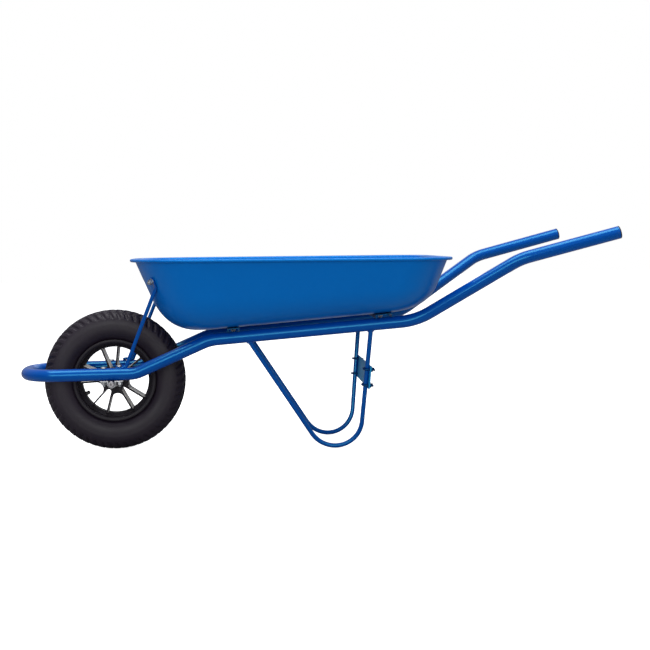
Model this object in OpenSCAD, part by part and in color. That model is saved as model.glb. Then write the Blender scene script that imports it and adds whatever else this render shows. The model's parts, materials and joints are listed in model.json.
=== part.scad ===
// Single-wheel garden wheelbarrow: one bent frame tube that loops in front of the wheel,
// pressed tray, two bent bar legs with a clamped brace, two tray stays and a pneumatic wheel.
// Millimetres. +X runs to the handles, +Y to the pusher's right, Z is up from the ground.

/* [Overall] */
// Length over the front loop and the handle plugs
overall_len = 1524; // [1400:1:1650]
// Centre distance between the handle ends
handle_span = 556; // [480:2:620]
// Height of the handle ends, tube centre
handle_tip_z = 548; // [500:1:620]
// Height of the handle bend, tube centre
handle_bend_z = 487; // [450:1:540]
// Distance from the handle end forward to the handle bend
handle_grip_run = 246; // [200:1:320]

/* [Frame tube] */
// Outside diameter of the frame tube
tube_od = 32; // [26:0.5:38]
// Wall of the frame tube
tube_wall = 2; // [1.2:0.1:3.5]
// Centre distance between the rails beside the wheel
rail_gap = 200; // [180:1:240]
// Distance from the axle forward to the centre of the front loop tube
loop_reach = 227; // [215:1:300]
// Centreline radius of the two front loop corners
loop_bend = 90; // [60:1:95]
// Rise of the rail from beside the wheel to the front of the tray
rail_rise = 82; // [60:1:110]
// Distance from the axle back to the first upward bend
rise_start = 60; // [55:1:70]
// Distance from the axle back to the bend under the tray front
rise_end = 252; // [220:1:280]
// Distance from the axle back to the bend behind the tray
rear_bend_x = 783; // [740:1:820]
// Half distance between the rails at the bend behind the tray
rear_bend_y = 160; // [140:1:180]
// Extra height of the rail from tray front to the rear bend
rail_climb = 42; // [20:1:60]

/* [Wheel] */
// Outside diameter of the tyre
tyre_od = 370; // [340:1:410]
// Width of the tyre
tyre_w = 88; // [76:1:100]
// Bead seat radius of the rim
bead_r = 101.6; // [95:0.1:110]
// Width of the rim over its flanges
rim_w = 76; // [66:1:84]
// Length of the hub
hub_len = 75; // [60:1:90]
// Thickness of one spoke
spoke_t = 4.4; // [3:0.1:8]
// Axial depth of the spokes
spoke_depth = 56; // [30:1:64]
// Axle diameter
axle_d = 16; // [12:0.5:20]
// Length of the axle
axle_len = 248; // [238:1:280]

/* [Tray] */
// Length of the tray over its lip
tray_len = 821; // [740:1:860]
// Width of the tray over its lip at the back
tray_w = 590; // [540:1:640]
// Width of the tray over its lip at the front
tray_front_w = 478; // [420:1:520]
// Height of the rim above the ground at the back
rim_z = 495; // [470:1:530]
// Extra height of the rim at the front
rim_rise = 8; // [0:1:20]
// Thickness of the tray sheet
sheet_t = 1.5; // [0.8:0.1:3]
// Diameter of the rolled edge bead
bead_d = 8; // [6:0.5:10]

/* [Legs] */
// Diameter of the leg bar
bar_d = 12; // [10:0.5:14]
// Centreline radius of the bend on the ground
leg_bend = 71; // [55:1:80]
// Height of the brace centre above the ground
brace_z = 188; // [140:1:220]
// Height of the brace plate
brace_h = 60; // [56:1:70]
// Thickness of the brace plate
brace_t = 3; // [2:0.5:5]

/* [Stays] */
// Diameter of the stay bar
stay_d = 10; // [8:0.5:12]
// How far round the front corner of the tray the stay bolt stands, in degrees
stay_turn = 37; // [20:1:45]
// Height of the stay bolt above the ground
stay_z = 449; // [430:1:455]
// Thickness of the flattened stay ends
tab_t = 4; // [3:0.5:6]

/* [Hidden] */
$fn = 64;
fit = 0.05; // radial play of pins, threads and bushes
seat = 0.1; // gap between two parts that rest on each other
run = 0.4; // gap between the turning wheel and the fixed spacers
cut = 1; // overrun of a cutting tool
tube_r = tube_od / 2;
axle_r = axle_d / 2;
bar_r = bar_d / 2;
axle_z = tyre_od / 2;
plug_t = 2.5; // flange of the handle plug
plug_in = 22; // length of the plug inside the tube
plug_play = 0.2; // radial play of the plug in the bore

// Everything is laid out from the axle; axle_x puts the middle of the length at x = 0.
axle_x = loop_reach + tube_r - overall_len / 2;
module from_axle() { translate([axle_x, 0, 0]) children(); }

// ---- vectors ----
function unit(v) = v / norm(v);
function mix(a, b, t) = a * (1 - t) + b * t;
function flip(p) = [p.x, -p.y, p.z];
function reversed(v) = [for (i = [len(v) - 1 : -1 : 0]) v[i]];

// ---- frame path, half of it, on the +Y side ----
rail_z = axle_z + axle_r + tube_r + seat;
grip_splay = 13; // how far a handle end stands out from its bend
grip_dir = unit([handle_grip_run, grip_splay, handle_tip_z - handle_bend_z]);
plug_over = (seat + plug_t) * grip_dir.x + tube_r * sqrt(1 - pow(grip_dir.x, 2));
tip_x = overall_len - loop_reach - tube_r - plug_over;
tip_p = [tip_x, handle_span / 2, handle_tip_z];
hand_p = [tip_x - handle_grip_run, handle_span / 2 - grip_splay, handle_bend_z];
rear_p = [rear_bend_x, rear_bend_y, rail_z + rail_rise + rail_climb];
deck_p = [rise_end, rail_gap / 2, rail_z + rail_rise];
rise_p = [rise_start, rail_gap / 2, rail_z];
loop_p = [-loop_reach, rail_gap / 2, rail_z];
half_path = [tip_p, hand_p, rear_p, deck_p, rise_p, loop_p];
half_bend = [0, 110, 150, 120, 70, loop_bend];
frame_path = concat(half_path, [for (p = reversed(half_path)) flip(p)]);
frame_bend = concat(half_bend, reversed(half_bend));

// The two rails under the tray lie in one plane that climbs to the back.
deck_tilt = atan2(rail_climb, rear_bend_x - rise_end);
deck_slope = tan(deck_tilt);
function rail_at(x) = mix(deck_p, rear_p, (x - deck_p.x) / (rear_p.x - deck_p.x));
// A point at distance x behind the axle on the plane that lies h above the rail centres.
function deck_at(x, y, h) = [x, y, rail_at(x).z + h / cos(deck_tilt)];
module on_deck(x, y, h) {
  translate(deck_at(x, y, 0)) rotate([0, -deck_tilt, 0]) translate([0, 0, h]) children();
}

// ---- bars and tubes bent along a path ----
module point_z(d) { rotate([0, acos(d.z), atan2(d.y, d.x)]) children(); }

module straight(a, b, r) {
  translate(a) point_z(unit(b - a)) cylinder(h = norm(b - a), r = r);
}

function corner_angle(p, i) = acos(unit(p[i] - p[i - 1]) * unit(p[i + 1] - p[i]));
function trim(p, bend, i) =
  i == 0 || i == len(p) - 1 ? 0 : bend[i] * tan(corner_angle(p, i) / 2);

// Each elbow is a hair thicker than the straights, which run a little way into it.
elbow_more = 0.12;
elbow_lap = 2;
module elbow(p, bend, i, r) {
  d1 = unit(p[i] - p[i - 1]);
  d2 = unit(p[i + 1] - p[i]);
  n = unit(cross(d1, d2));
  inward = cross(n, d1);
  start = p[i] - d1 * trim(p, bend, i);
  az = atan2(n.y, n.x);
  ux = [cos(az) * n.z, sin(az) * n.z, -sin(acos(n.z))];
  uy = [-sin(az), cos(az), 0];
  turn = atan2(-inward * uy, -inward * ux);
  translate(start + inward * bend[i])
    point_z(n)
      rotate([0, 0, turn])
        rotate_extrude(angle = corner_angle(p, i))
          translate([bend[i], 0]) circle(r = r + elbow_more);
}

module bent(p, bend, r) {
  for (i = [0 : len(p) - 2]) {
    d = unit(p[i + 1] - p[i]);
    lap0 = i == 0 ? 0 : elbow_lap;
    lap1 = i == len(p) - 2 ? 0 : elbow_lap;
    straight(p[i] + d * (trim(p, bend, i) - lap0), p[i + 1] - d * (trim(p, bend, i + 1) - lap1), r);
  }
  for (i = [1 : len(p) - 2]) elbow(p, bend, i, r);
}

// ---- fasteners, axis along +Z ----
m6 = 3;
m8 = 4;
function hex_af(r) = r == m6 ? 10 : 13;
function nut_h(r) = r == m6 ? 5 : 6.5;
function washer_r(r) = r == m6 ? 6 : 8;
washer_t = 1.6;
hole_play = 0.3;

module hex_block(r, h) { cylinder(h = h, r = hex_af(r) / 2 / cos(30), $fn = 6); }

module nut(r) {
  difference() {
    hex_block(r, nut_h(r));
    translate([0, 0, -cut]) cylinder(h = nut_h(r) + 2 * cut, r = r + fit);
  }
}

module washer(r) {
  difference() {
    cylinder(h = washer_t, r = washer_r(r));
    translate([0, 0, -cut]) cylinder(h = washer_t + 2 * cut, r = r + hole_play);
  }
}

// Hexagon bolt: underside of the head at z = 0, shank along +Z.
module hex_bolt(r, len) {
  translate([0, 0, -nut_h(r) + 1]) hex_block(r, nut_h(r) - 1);
  cylinder(h = len, r = r);
}

function pan_r(r) = r * 2;
// Pan-head bolt: underside of the head at z = 0, shank along -Z.
module pan_bolt(r, len) {
  cylinder(h = r * 0.9, r1 = pan_r(r), r2 = r * 1.4);
  translate([0, 0, -len]) cylinder(h = len, r = r);
}

// U-bolt: bend centre at the origin, legs along +Z at x = +-bend.
module u_bolt(r, bend, leg) {
  for (s = [-1, 1]) translate([s * bend, 0, 0]) cylinder(h = leg, r = r);
  rotate([-90, 0, 0]) rotate_extrude(angle = 180) translate([bend, 0]) circle(r = r);
}

module both_sides() {
  children();
  mirror([0, 1, 0]) children();
}

// ---- positions shared by several parts ----
// axle clamps: a bent strap under the axle, held by two bolts that come down through the rail
clamp_top = rail_z + tube_r + seat;
strap_t = 3;
strap_w = 25;
strap_in = axle_r + fit;
strap_out = strap_in + strap_t;
ear_top = rail_z - tube_r - seat - axle_z; // above the axle centre
clamp_x = strap_out + washer_r(m8) + 0.95;
strap_half = clamp_x + washer_r(m8) + 1;
// stay feet on the rails, under the rear clamp bolts
foot_from = clamp_x - washer_r(m8) - 1;
foot_to = clamp_x + pan_r(m8) + 13;
foot_top = clamp_top + tab_t;
// tray supports and floor bolts
front_beam_x = 316;
rear_beam_x = 700;
front_beam_w = 31;
rear_beam_w = 44;
beam_h = 9.5;
beam_t = 2.5;
beam_over = 20;
front_bolt_y = 60;
rear_bolt_y = 85;
floor_h = tube_r + beam_h + 2 * seat;

// ---- 1. frame tube ----
module frame_tube() color("royalblue") from_axle() difference() {
  bent(frame_path, frame_bend, tube_r);
  // bore, run past both open ends
  bent(concat([tip_p + grip_dir * cut], [for (i = [1 : len(frame_path) - 2]) frame_path[i]],
    [flip(tip_p + grip_dir * cut)]), frame_bend, tube_r - tube_wall);
  // axle clamp bolt holes
  for (s = [-1, 1], x = [-clamp_x, clamp_x])
    translate([x, s * rail_gap / 2, rail_z - tube_r - cut])
      cylinder(h = tube_od + 2 * cut, r = m8 + hole_play);
}

// ---- 2, 3. handle plugs ----
module handle_plug() color("dimgray") from_axle() difference() {
  translate(tip_p) point_z(grip_dir) {
    translate([0, 0, seat]) cylinder(h = plug_t, r = tube_r);
    translate([0, 0, -plug_in]) cylinder(h = plug_in + seat + plug_t / 2, r = tube_r - tube_wall - plug_play);
  }
  translate(tip_p) point_z(grip_dir)
    translate([0, 0, -plug_in - cut]) cylinder(h = plug_in + cut, r = tube_r - tube_wall - 3);
}
module handle_plug_right() { handle_plug(); }
module handle_plug_left() { mirror([0, 1, 0]) handle_plug(); }

// ---- 4, 5. legs ----
leg_front_x = 347.5;
leg_rear_x = 668;
leg_apex_x = 623;
leg_apex_y = 95.2;
leg_front_p = rail_at(leg_front_x);
leg_rear_p = rail_at(leg_rear_x);
// Height of the lowest point of the bent bar when its sharp corner is at height z.
function leg_low(z) =
  let (a = [leg_apex_x, leg_apex_y, z], u = unit(leg_front_p - a), v = unit(leg_rear_p - a),
    half = acos(u * v) / 2, c = a + unit(u + v) * leg_bend / sin(half), n = unit(cross(u, v)))
  c.z - leg_bend * sqrt(1 - n.z * n.z) - bar_r;
function leg_apex(z, k) = k == 0 ? z : leg_apex(z - leg_low(z), k - 1);
leg_apex_p = [leg_apex_x, leg_apex_y, leg_apex(-136, 8)];
leg_up = unit(leg_rear_p - leg_apex_p);

module leg() color("royalblue") from_axle() difference() {
  bent([leg_front_p, leg_apex_p, leg_rear_p], [0, leg_bend, 0], bar_r);
  // saddle cuts that fit the round rail
  straight(deck_p, rear_p, tube_r + seat);
}
module leg_right() { leg(); }
module leg_left() { mirror([0, 1, 0]) leg(); }

// ---- 6. leg brace, flat across the back of the two rear bars ----
brace_p = leg_apex_p + leg_up * (brace_z - leg_apex_p.z) / leg_up.z;
brace_lean = atan2(leg_up.x, leg_up.z);
brace_u_z = 21;
brace_u_bend = bar_r + m6 + fit;
// Local frame on the bar: z along the bar, x toward the back, y across it.
module on_brace_bar() {
  translate(brace_p) rotate([0, brace_lean, 0])
    rotate([-atan2(leg_up.y, norm([leg_up.x, leg_up.z])), 0, 0]) children();
}

module leg_brace() color("deepskyblue") from_axle() difference() {
  translate([brace_p.x, 0, brace_p.z]) rotate([0, brace_lean, 0])
    translate([bar_r + seat, -brace_p.y - 24, -brace_h / 2])
      cube([brace_t, 2 * brace_p.y + 48, brace_h]);
  both_sides() on_brace_bar()
    for (z = [-brace_u_z, brace_u_z], y = [-brace_u_bend, brace_u_bend])
      translate([0, y, z]) rotate([0, 90, 0]) cylinder(h = 30, r = m6 + hole_play);
}

// ---- 7, 8. brace U-bolts and nuts ----
module brace_each() {
  both_sides() on_brace_bar() for (z = [-brace_u_z, brace_u_z]) translate([0, 0, z]) children();
}
module brace_u_bolts() color("silver") from_axle() brace_each()
  rotate([90, 0, 0]) rotate([0, 90, 0]) u_bolt(m6, brace_u_bend, 20);
module brace_nuts() color("silver") from_axle() brace_each()
  for (y = [-brace_u_bend, brace_u_bend])
    translate([bar_r + 2 * seat + brace_t, y, 0]) rotate([0, 90, 0]) nut(m6);

// ---- 9. tray ----
lip_w = 14; // how far the rolled lip stands out from the wall
lip_drop = 8;
wall_front_x = 52.5 + lip_w;
wall_rear_x = wall_front_x + tray_len - 2 * lip_w;
wall_front_y = tray_front_w / 2 - lip_w;
wall_rear_y = tray_w / 2 - lip_w;
wall_front_r = 165;
wall_rear_r = 105;
foot_front_x = wall_front_x + 76.5; // sharp corner line of wall and floor
foot_rear_x = wall_rear_x - 42.5;
foot_front_y = wall_front_y - 50;
foot_rear_y = wall_rear_y - 61;
foot_front_r = 125;
foot_rear_r = 98;
floor_in = 92; // reach of the floor curve
wall_up = 0.5; // share of the wall height taken by the floor curve
arc_n = 14;
wall_slack = 0.75; // play for the bolt heads against the curved wall
curve_n = 7;
sheet_in = sheet_t * 1.08; // sheet thickness measured level across the leaning wall

// One closed outline: two front corners and two rear corners joined by straight sides.
// off moves the whole outline outward.
function side_normal(xf, xr, yf, yr, rf, rr) =
  let (d = [xr - rr - xf - rf, yr - rr - yf + rf]) atan2(d.y, d.x) + acos((rf - rr) / norm(d));
function arc_pts(cx, cy, r, a0, a1) =
  [for (i = [0 : arc_n]) let (a = a0 + (a1 - a0) * i / arc_n) [cx + r * cos(a), cy + r * sin(a)]];
function outline(xf, xr, yf, yr, rf, rr, off) =
  let (a = side_normal(xf, xr, yf, yr, rf, rr),
    right = concat(arc_pts(xr - rr, yr - rr, rr + off, 0, a),
      arc_pts(xf + rf, yf - rf, rf + off, a, 180)))
  concat(right, [for (p = reversed(right)) [p.x, -p.y]]);
function rim_at(x) = rim_z + rim_rise * (wall_rear_x - x) / (wall_rear_x - wall_front_x);
function wall_ring(off, dz) =
  [for (p = outline(wall_front_x, wall_rear_x, wall_front_y, wall_rear_y, wall_front_r, wall_rear_r, off))
    [p.x, p.y, rim_at(p.x) + dz]];
function foot_ring(off, up) =
  [for (p = outline(foot_front_x, foot_rear_x, foot_front_y, foot_rear_y, foot_front_r, foot_rear_r, off))
    deck_at(p.x, p.y, floor_h + up)];
// Curve from the flat floor (t = 0) to the straight wall (t = 1), in = 0 outside, sheet inside.
function curve_ring(t, off, up) =
  let (a = foot_ring(-floor_in, up), k = foot_ring(off, up), w = wall_ring(off, -lip_drop))
  [for (i = [0 : len(a) - 1]) let (top = mix(k[i], w[i], wall_up))
    a[i] * (1 - t) * (1 - t) + k[i] * 2 * t * (1 - t) + top * t * t];
bead_r2 = bead_d / 2;
bead_c = lip_w - bead_r2;
lip_rings = concat(
  [wall_ring(0, -lip_drop), wall_ring(1.2, -5), wall_ring(4, -3.2)],
  [for (a = [200 : 32 : 424]) wall_ring(bead_c + bead_r2 * cos(a), -bead_r2 + bead_r2 * sin(a))],
  [wall_ring(bead_c, 0), wall_ring(4, -0.8), wall_ring(0.6, -2), wall_ring(-sheet_in, -lip_drop)]);
tray_rings = concat(
  [for (i = [0 : curve_n]) curve_ring(i / curve_n, 0, 0)],
  lip_rings,
  [for (i = [curve_n : -1 : 0]) curve_ring(i / curve_n, -sheet_in, sheet_t)]);

module ring_solid(rings) {
  n = len(rings[0]);
  m = len(rings);
  polyhedron(
    points = [for (ring = rings) for (p = ring) p],
    faces = concat(
      [[for (i = [0 : n - 1]) i]],
      [for (j = [0 : m - 2]) for (i = [0 : n - 1]) [j * n + i, (j + 1) * n + i, (j + 1) * n + (i + 1) % n]],
      [for (j = [0 : m - 2]) for (i = [0 : n - 1])
        [j * n + i, (j + 1) * n + (i + 1) % n, j * n + (i + 1) % n]],
      [[for (i = [n - 1 : -1 : 0]) (m - 1) * n + i]]),
    convexity = 6);
}

// Wall geometry where the stay bolt goes through: h is the share of the wall height.
stay_away = [-cos(stay_turn), sin(stay_turn)];
function on_corner(x, y, r) = [x + r, y - r] + r * stay_away;
stay_foot = on_corner(foot_front_x, foot_front_y, foot_front_r);
stay_wall = on_corner(wall_front_x, wall_front_y, wall_front_r);
stay_foot_z = deck_at(stay_foot.x, 0, floor_h).z;
stay_wall_z = rim_at(stay_wall.x) - lip_drop;
stay_h = (stay_z - stay_foot_z) / (stay_wall_z - stay_foot_z);
stay_lean = atan2((stay_wall - stay_foot) * stay_away, stay_wall_z - stay_foot_z);
stay_xy = mix(stay_foot, stay_wall, stay_h);
stay_p = [stay_xy.x, stay_xy.y, stay_z];
// Local frame on the wall: z straight out of the wall, x down along it.
module on_wall() {
  translate(stay_p) rotate([0, 0, 180 - stay_turn]) rotate([0, 90 + stay_lean, 0]) children();
}

module floor_bolt_places() {
  both_sides() {
    on_deck(front_beam_x, front_bolt_y, floor_h) children();
    on_deck(rear_beam_x, rear_bolt_y, floor_h) children();
  }
}

module tray() color("mediumblue") from_axle() difference() {
  ring_solid(tray_rings);
  floor_bolt_places() translate([0, 0, -cut]) cylinder(h = sheet_t + 2 * cut, r = m8 + hole_play);
  both_sides() on_wall() translate([0, 0, -8]) cylinder(h = 12, r = m8 + hole_play);
}

// ---- 10, 11. tray beams, open channels that rest on both rails ----
module beam(x, w) {
  reach = rail_at(x).y + beam_over;
  on_deck(x, 0, tube_r + seat) difference() {
    translate([-w / 2, -reach, 0]) cube([w, 2 * reach, beam_h]);
    translate([-w / 2 + beam_t, -reach - cut, -cut])
      cube([w - 2 * beam_t, 2 * (reach + cut), beam_h - beam_t + cut]);
  }
}
module front_beam() color("navy") from_axle() difference() {
  beam(front_beam_x, front_beam_w);
  both_sides() on_deck(front_beam_x, front_bolt_y, tube_r) cylinder(h = beam_h + cut, r = m8 + hole_play);
}
module rear_beam() color("navy") from_axle() difference() {
  beam(rear_beam_x, rear_beam_w);
  both_sides() on_deck(rear_beam_x, rear_bolt_y, tube_r) cylinder(h = beam_h + cut, r = m8 + hole_play);
}

// ---- 12, 13, 14. tray floor bolts, washers and nuts ----
floor_bolt_len = sheet_t + beam_t + washer_t + nut_h(m8) + 5;
module floor_bolts() color("silver") from_axle() floor_bolt_places()
  translate([0, 0, sheet_t + seat]) pan_bolt(m8, floor_bolt_len);
module floor_washers() color("silver") from_axle() floor_bolt_places()
  translate([0, 0, -beam_t - 2 * seat - washer_t]) washer(m8);
module floor_nuts() color("silver") from_axle() floor_bolt_places()
  translate([0, 0, -beam_t - 3 * seat - washer_t - nut_h(m8)]) nut(m8);

// ---- 15, 16. stays ----
tab_w = 17;
tab_down = 22;
stay_out = seat + tab_t / 2;
// the lower end of the upper tab, worked out in the wall frame
stay_normal = [-cos(stay_turn) * cos(stay_lean), sin(stay_turn) * cos(stay_lean), -sin(stay_lean)];
stay_fall = [cos(stay_turn) * sin(stay_lean), -sin(stay_turn) * sin(stay_lean), -cos(stay_lean)];
stay_top_p = stay_p + stay_normal * stay_out + stay_fall * tab_down;
stay_low_p = [foot_to - stay_d / 2, rail_gap / 2, clamp_top];

module stay() color("royalblue") from_axle() difference() {
  union() {
    straight(stay_low_p, stay_top_p + unit(stay_top_p - stay_low_p) * 3, stay_d / 2);
    // upper tab
    on_wall() translate([0, 0, seat]) {
      cylinder(h = tab_t, r = tab_w / 2);
      translate([0, -tab_w / 2, 0]) cube([tab_down, tab_w, tab_t]);
    }
    // foot
    translate([foot_from, rail_gap / 2 - tab_w / 2, clamp_top]) cube([foot_to - foot_from, tab_w, tab_t]);
  }
  on_wall() translate([0, 0, -cut]) cylinder(h = tab_t + 3 * cut, r = m8 + hole_play);
  translate([clamp_x, rail_gap / 2, clamp_top - cut]) cylinder(h = tab_t + 2 * cut, r = m8 + hole_play);
  // flats that keep the round bar off the rail, the tray and the clamp bolt's head
  translate([clamp_x - 30, rail_gap / 2 - 20, clamp_top - 20]) cube([70, 40, 20]);
  on_wall() translate([-20, -20, seat - 20]) cube([80, 40, 20]);
  translate([clamp_x, rail_gap / 2, foot_top]) cylinder(h = 30, r = pan_r(m8) + 2 * seat);
}
module stay_right() { stay(); }
module stay_left() { mirror([0, 1, 0]) stay(); }

// ---- 17, 18, 19. stay bolts on the tray: heads inside, nuts outside ----
module stay_bolts() color("silver") from_axle() both_sides() on_wall()
  translate([0, 0, -sheet_t - wall_slack])
    hex_bolt(m8, sheet_t + wall_slack + tab_t + washer_t + nut_h(m8) + 5);
module stay_washers() color("silver") from_axle() both_sides() on_wall()
  translate([0, 0, 2 * seat + tab_t]) washer(m8);
module stay_nuts() color("silver") from_axle() both_sides() on_wall()
  translate([0, 0, 3 * seat + tab_t + washer_t]) nut(m8);

// ---- 20. axle ----
chamfer = 1.2;
module axle() color("silver") from_axle() translate([0, 0, axle_z]) rotate([90, 0, 0]) {
  cylinder(h = axle_len - 2 * chamfer, r = axle_r, center = true);
  for (s = [0, 1]) mirror([0, 0, s]) translate([0, 0, axle_len / 2 - chamfer])
    cylinder(h = chamfer, r1 = axle_r, r2 = axle_r - chamfer);
}

// ---- 21 to 24. axle clamps: straps, bolts from above, washers and nuts below ----
strap_n = 32;
function under_arc(r) = [for (i = [0 : strap_n]) let (a = 180 + 180 * i / strap_n) [r * cos(a), r * sin(a)]];
strap_pts = concat(
  [[-strap_half, ear_top], [-strap_half, ear_top - strap_t], [-strap_out, ear_top - strap_t]],
  under_arc(strap_out),
  [[strap_out, ear_top - strap_t], [strap_half, ear_top - strap_t]],
  [[strap_half, ear_top], [strap_in, ear_top]],
  reversed(under_arc(strap_in)),
  [[-strap_in, ear_top]]);
module axle_straps() color("silver") from_axle() both_sides() translate([0, rail_gap / 2, axle_z])
  difference() {
    rotate([90, 0, 0]) linear_extrude(height = strap_w, center = true) polygon(strap_pts);
    for (x = [-clamp_x, clamp_x])
      translate([x, 0, ear_top - strap_t - cut]) cylinder(h = strap_t + 2 * cut, r = m8 + hole_play);
  }
clamp_under = axle_z + ear_top - strap_t;
clamp_nut_z = clamp_under - seat - washer_t - seat - nut_h(m8);
clamp_tail = 5; // bolt beyond the nut
module axle_bolts() color("silver") from_axle() both_sides() for (s = [-1, 1])
  let (head = clamp_top + (s > 0 ? tab_t + seat : 0))
    translate([s * clamp_x, rail_gap / 2, head]) pan_bolt(m8, head - clamp_nut_z + clamp_tail);
module axle_clamp_places(z) {
  both_sides() for (x = [-clamp_x, clamp_x]) translate([x, rail_gap / 2, z]) children();
}
module axle_washers() color("silver") from_axle()
  axle_clamp_places(clamp_under - seat - washer_t) washer(m8);
module axle_nuts() color("silver") from_axle() axle_clamp_places(clamp_nut_z) nut(m8);

// ---- 25, 26. axle spacers, between the hub and the strap ----
spacer_r = 10;
bush_r = 13;
bush_len = 20;
bush_flange = 2.5;
spacer_in = hub_len / 2 + bush_flange + run;
spacer_out = min(rail_gap / 2 - strap_w / 2,
  rail_gap / 2 - sqrt(pow(tube_r, 2) - pow(rail_z - axle_z - spacer_r, 2))) - seat;
module axle_spacer() color("gray") from_axle() translate([0, spacer_in, axle_z]) rotate([-90, 0, 0])
  difference() {
    cylinder(h = spacer_out - spacer_in, r = spacer_r);
    translate([0, 0, -cut]) cylinder(h = spacer_out - spacer_in + 2 * cut, r = axle_r + fit);
  }
module axle_spacer_right() { axle_spacer(); }
module axle_spacer_left() { mirror([0, 1, 0]) axle_spacer(); }

// ---- 27. wheel: rim, ten deep spokes in five pairs and the hub in one moulding ----
module on_axle() { from_axle() translate([0, 0, axle_z]) rotate([90, 0, 0]) children(); }
rim_h = 5.4; // flange height over the bead seat
rim_t = 3.5;
well_r = bead_r - 10.6;
well_y = 11;
seat_y = 16;
hub_r = 20;
pair_turn = 72;
pair_first = 25;
pair_half = 14;
gap_half = pair_turn / 2 - pair_half;
web_out = 35; // radius where the web between two pairs starts
web_in = 28; // radius where the web inside a pair starts
// Centre distance of a circle that touches both spokes and comes no nearer than radius w.
function web_c(w, half) = (w - spoke_t / 2) / (1 - sin(half));
out_c = web_c(web_out, gap_half);
in_c = web_c(web_in, pair_half);
gap_n = 10;
function polar(r, a) = [r * cos(a), r * sin(a)];
// Rounded bottom of the gap whose middle is at angle mid, run from one spoke to the next.
function gap_arc(c, w, half, mid) = [for (i = [0 : gap_n])
  let (turn = mid + 180 + (90 - half) * (1 - 2 * i / gap_n)) polar(c, mid) + polar(c - w, turn)];
// Outer end of the spoke at angle a.
function spoke_end(a) = [for (s = [-1, 1]) polar(well_r - rim_t / 2, a) + polar(spoke_t / 2, a + s * 90)];
star_pts = [for (k = [0 : 4]) let (a = pair_first + pair_turn * k) for (p = concat(
  spoke_end(a - pair_half), gap_arc(in_c, web_in, pair_half, a),
  spoke_end(a + pair_half), gap_arc(out_c, web_out, gap_half, a + pair_turn / 2))) p];

module rim_section() {
  y1 = rim_w / 2;
  half = [[well_r, well_y], [bead_r, seat_y], [bead_r, y1 - 4], [bead_r + rim_h, y1 - 3],
    [bead_r + rim_h, y1], [bead_r + 1, y1], [bead_r - rim_t, y1 - 1.5], [bead_r - rim_t, seat_y + 2],
    [well_r - rim_t, well_y + 2]];
  polygon(concat(half, [for (p = reversed(half)) [p.x, -p.y]]));
}

module wheel_rim() color("black") on_axle() difference() {
  union() {
    rotate_extrude() rim_section();
    linear_extrude(height = spoke_depth, center = true) polygon(star_pts);
    cylinder(h = hub_len, r = hub_r, center = true);
  }
  cylinder(h = hub_len + 2 * cut, r = axle_r + 2, center = true);
  for (s = [0, 1]) mirror([0, 0, s]) translate([0, 0, hub_len / 2 - bush_len])
    cylinder(h = bush_len + cut, r = bush_r + fit);
  rotate(valve_turn) translate([well_r - 20, 0, 0]) rotate([0, 90, 0]) cylinder(h = 40, r = stem_r + 0.2);
}

// ---- 28, 29. bushes ----
module bush() color("gray") on_axle() mirror([0, 0, 1]) translate([0, 0, hub_len / 2 - bush_len + seat])
  difference() {
    union() {
      cylinder(h = bush_len, r = bush_r);
      translate([0, 0, bush_len]) cylinder(h = bush_flange - seat, r = bush_r + 3);
    }
    translate([0, 0, -cut]) cylinder(h = bush_len + bush_flange + 2 * cut, r = axle_r + fit);
  }
module bush_right() { bush(); }
module bush_left() { mirror([0, 1, 0]) bush(); }

// ---- 30, 31. tyre and inner tube ----
tyre_r = tyre_od / 2;
valve_turn = 205;
stem_r = 6;
crown_t = 11.8; // rubber under the tread, groove floor included
cavity_low = bead_r + 2.4;
cavity_c = (tyre_r - crown_t + cavity_low) / 2;
cavity_a = tyre_w / 2 - 7;
cavity_b = (tyre_r - crown_t - cavity_low) / 2;
crown_r = (tyre_r + bead_r) / 2;
// rounded oval, n is how square its shoulders are
function oval(c, a, b, n, steps) = [for (i = [0 : steps - 1]) let (t = 360 * i / steps)
  [c + b * sign(cos(t)) * pow(abs(cos(t)), 2 / n), a * sign(sin(t)) * pow(abs(sin(t)), 2 / n)]];
bead_y = rim_w / 2 - 4 - seat;

module tyre_section() {
  difference() {
    union() {
      difference() {
        polygon(oval(crown_r, tyre_w / 2, (tyre_r - bead_r) / 2, 2.5, 48));
        translate([bead_r - 10, -60]) square([rim_h + 10.6, 120]);
      }
      translate([bead_r + seat, -bead_y]) square([12, 2 * bead_y]);
    }
    polygon(oval(cavity_c, cavity_a, cavity_b, 2.2, 40));
    translate([bead_r - 5, -bead_y + 12]) square([30, 2 * bead_y - 24]);
  }
}

tread_d = 6;
module tyre() color("dimgray") on_axle() difference() {
  rotate_extrude() tyre_section();
  // circumferential grooves
  rotate_extrude() for (y = [-13, 13]) translate([tyre_r - tread_d, y - 2]) square([20, 4]);
}

module inner_tube() color("gray") on_axle() rotate_extrude() difference() {
  polygon(oval(cavity_c, cavity_a - 0.2, cavity_b - 0.2, 2.2, 40));
  polygon(oval(cavity_c, cavity_a - 2.2, cavity_b - 2.2, 2.2, 40));
}

// ---- 32, 33. valve stem and cap ----
stem_top = cavity_c - cavity_b;
stem_step = 90; // radius where the wide rubber stem narrows to the threaded core
stem_end = 79;
core_r = 4;
cap_len = 13;
module on_valve() { on_axle() rotate(valve_turn) rotate([0, 90, 0]) children(); }
module valve_stem() color("dimgray") on_valve() {
  translate([0, 0, stem_step]) cylinder(h = stem_top - stem_step, r = stem_r);
  translate([0, 0, stem_end]) cylinder(h = stem_step - stem_end + cut, r = core_r);
}
module valve_cap() color("black") on_valve() difference() {
  translate([0, 0, stem_end - 3]) cylinder(h = cap_len, r = 5.2);
  translate([0, 0, stem_end - seat]) cylinder(h = cap_len, r = core_r + fit);
}

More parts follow.
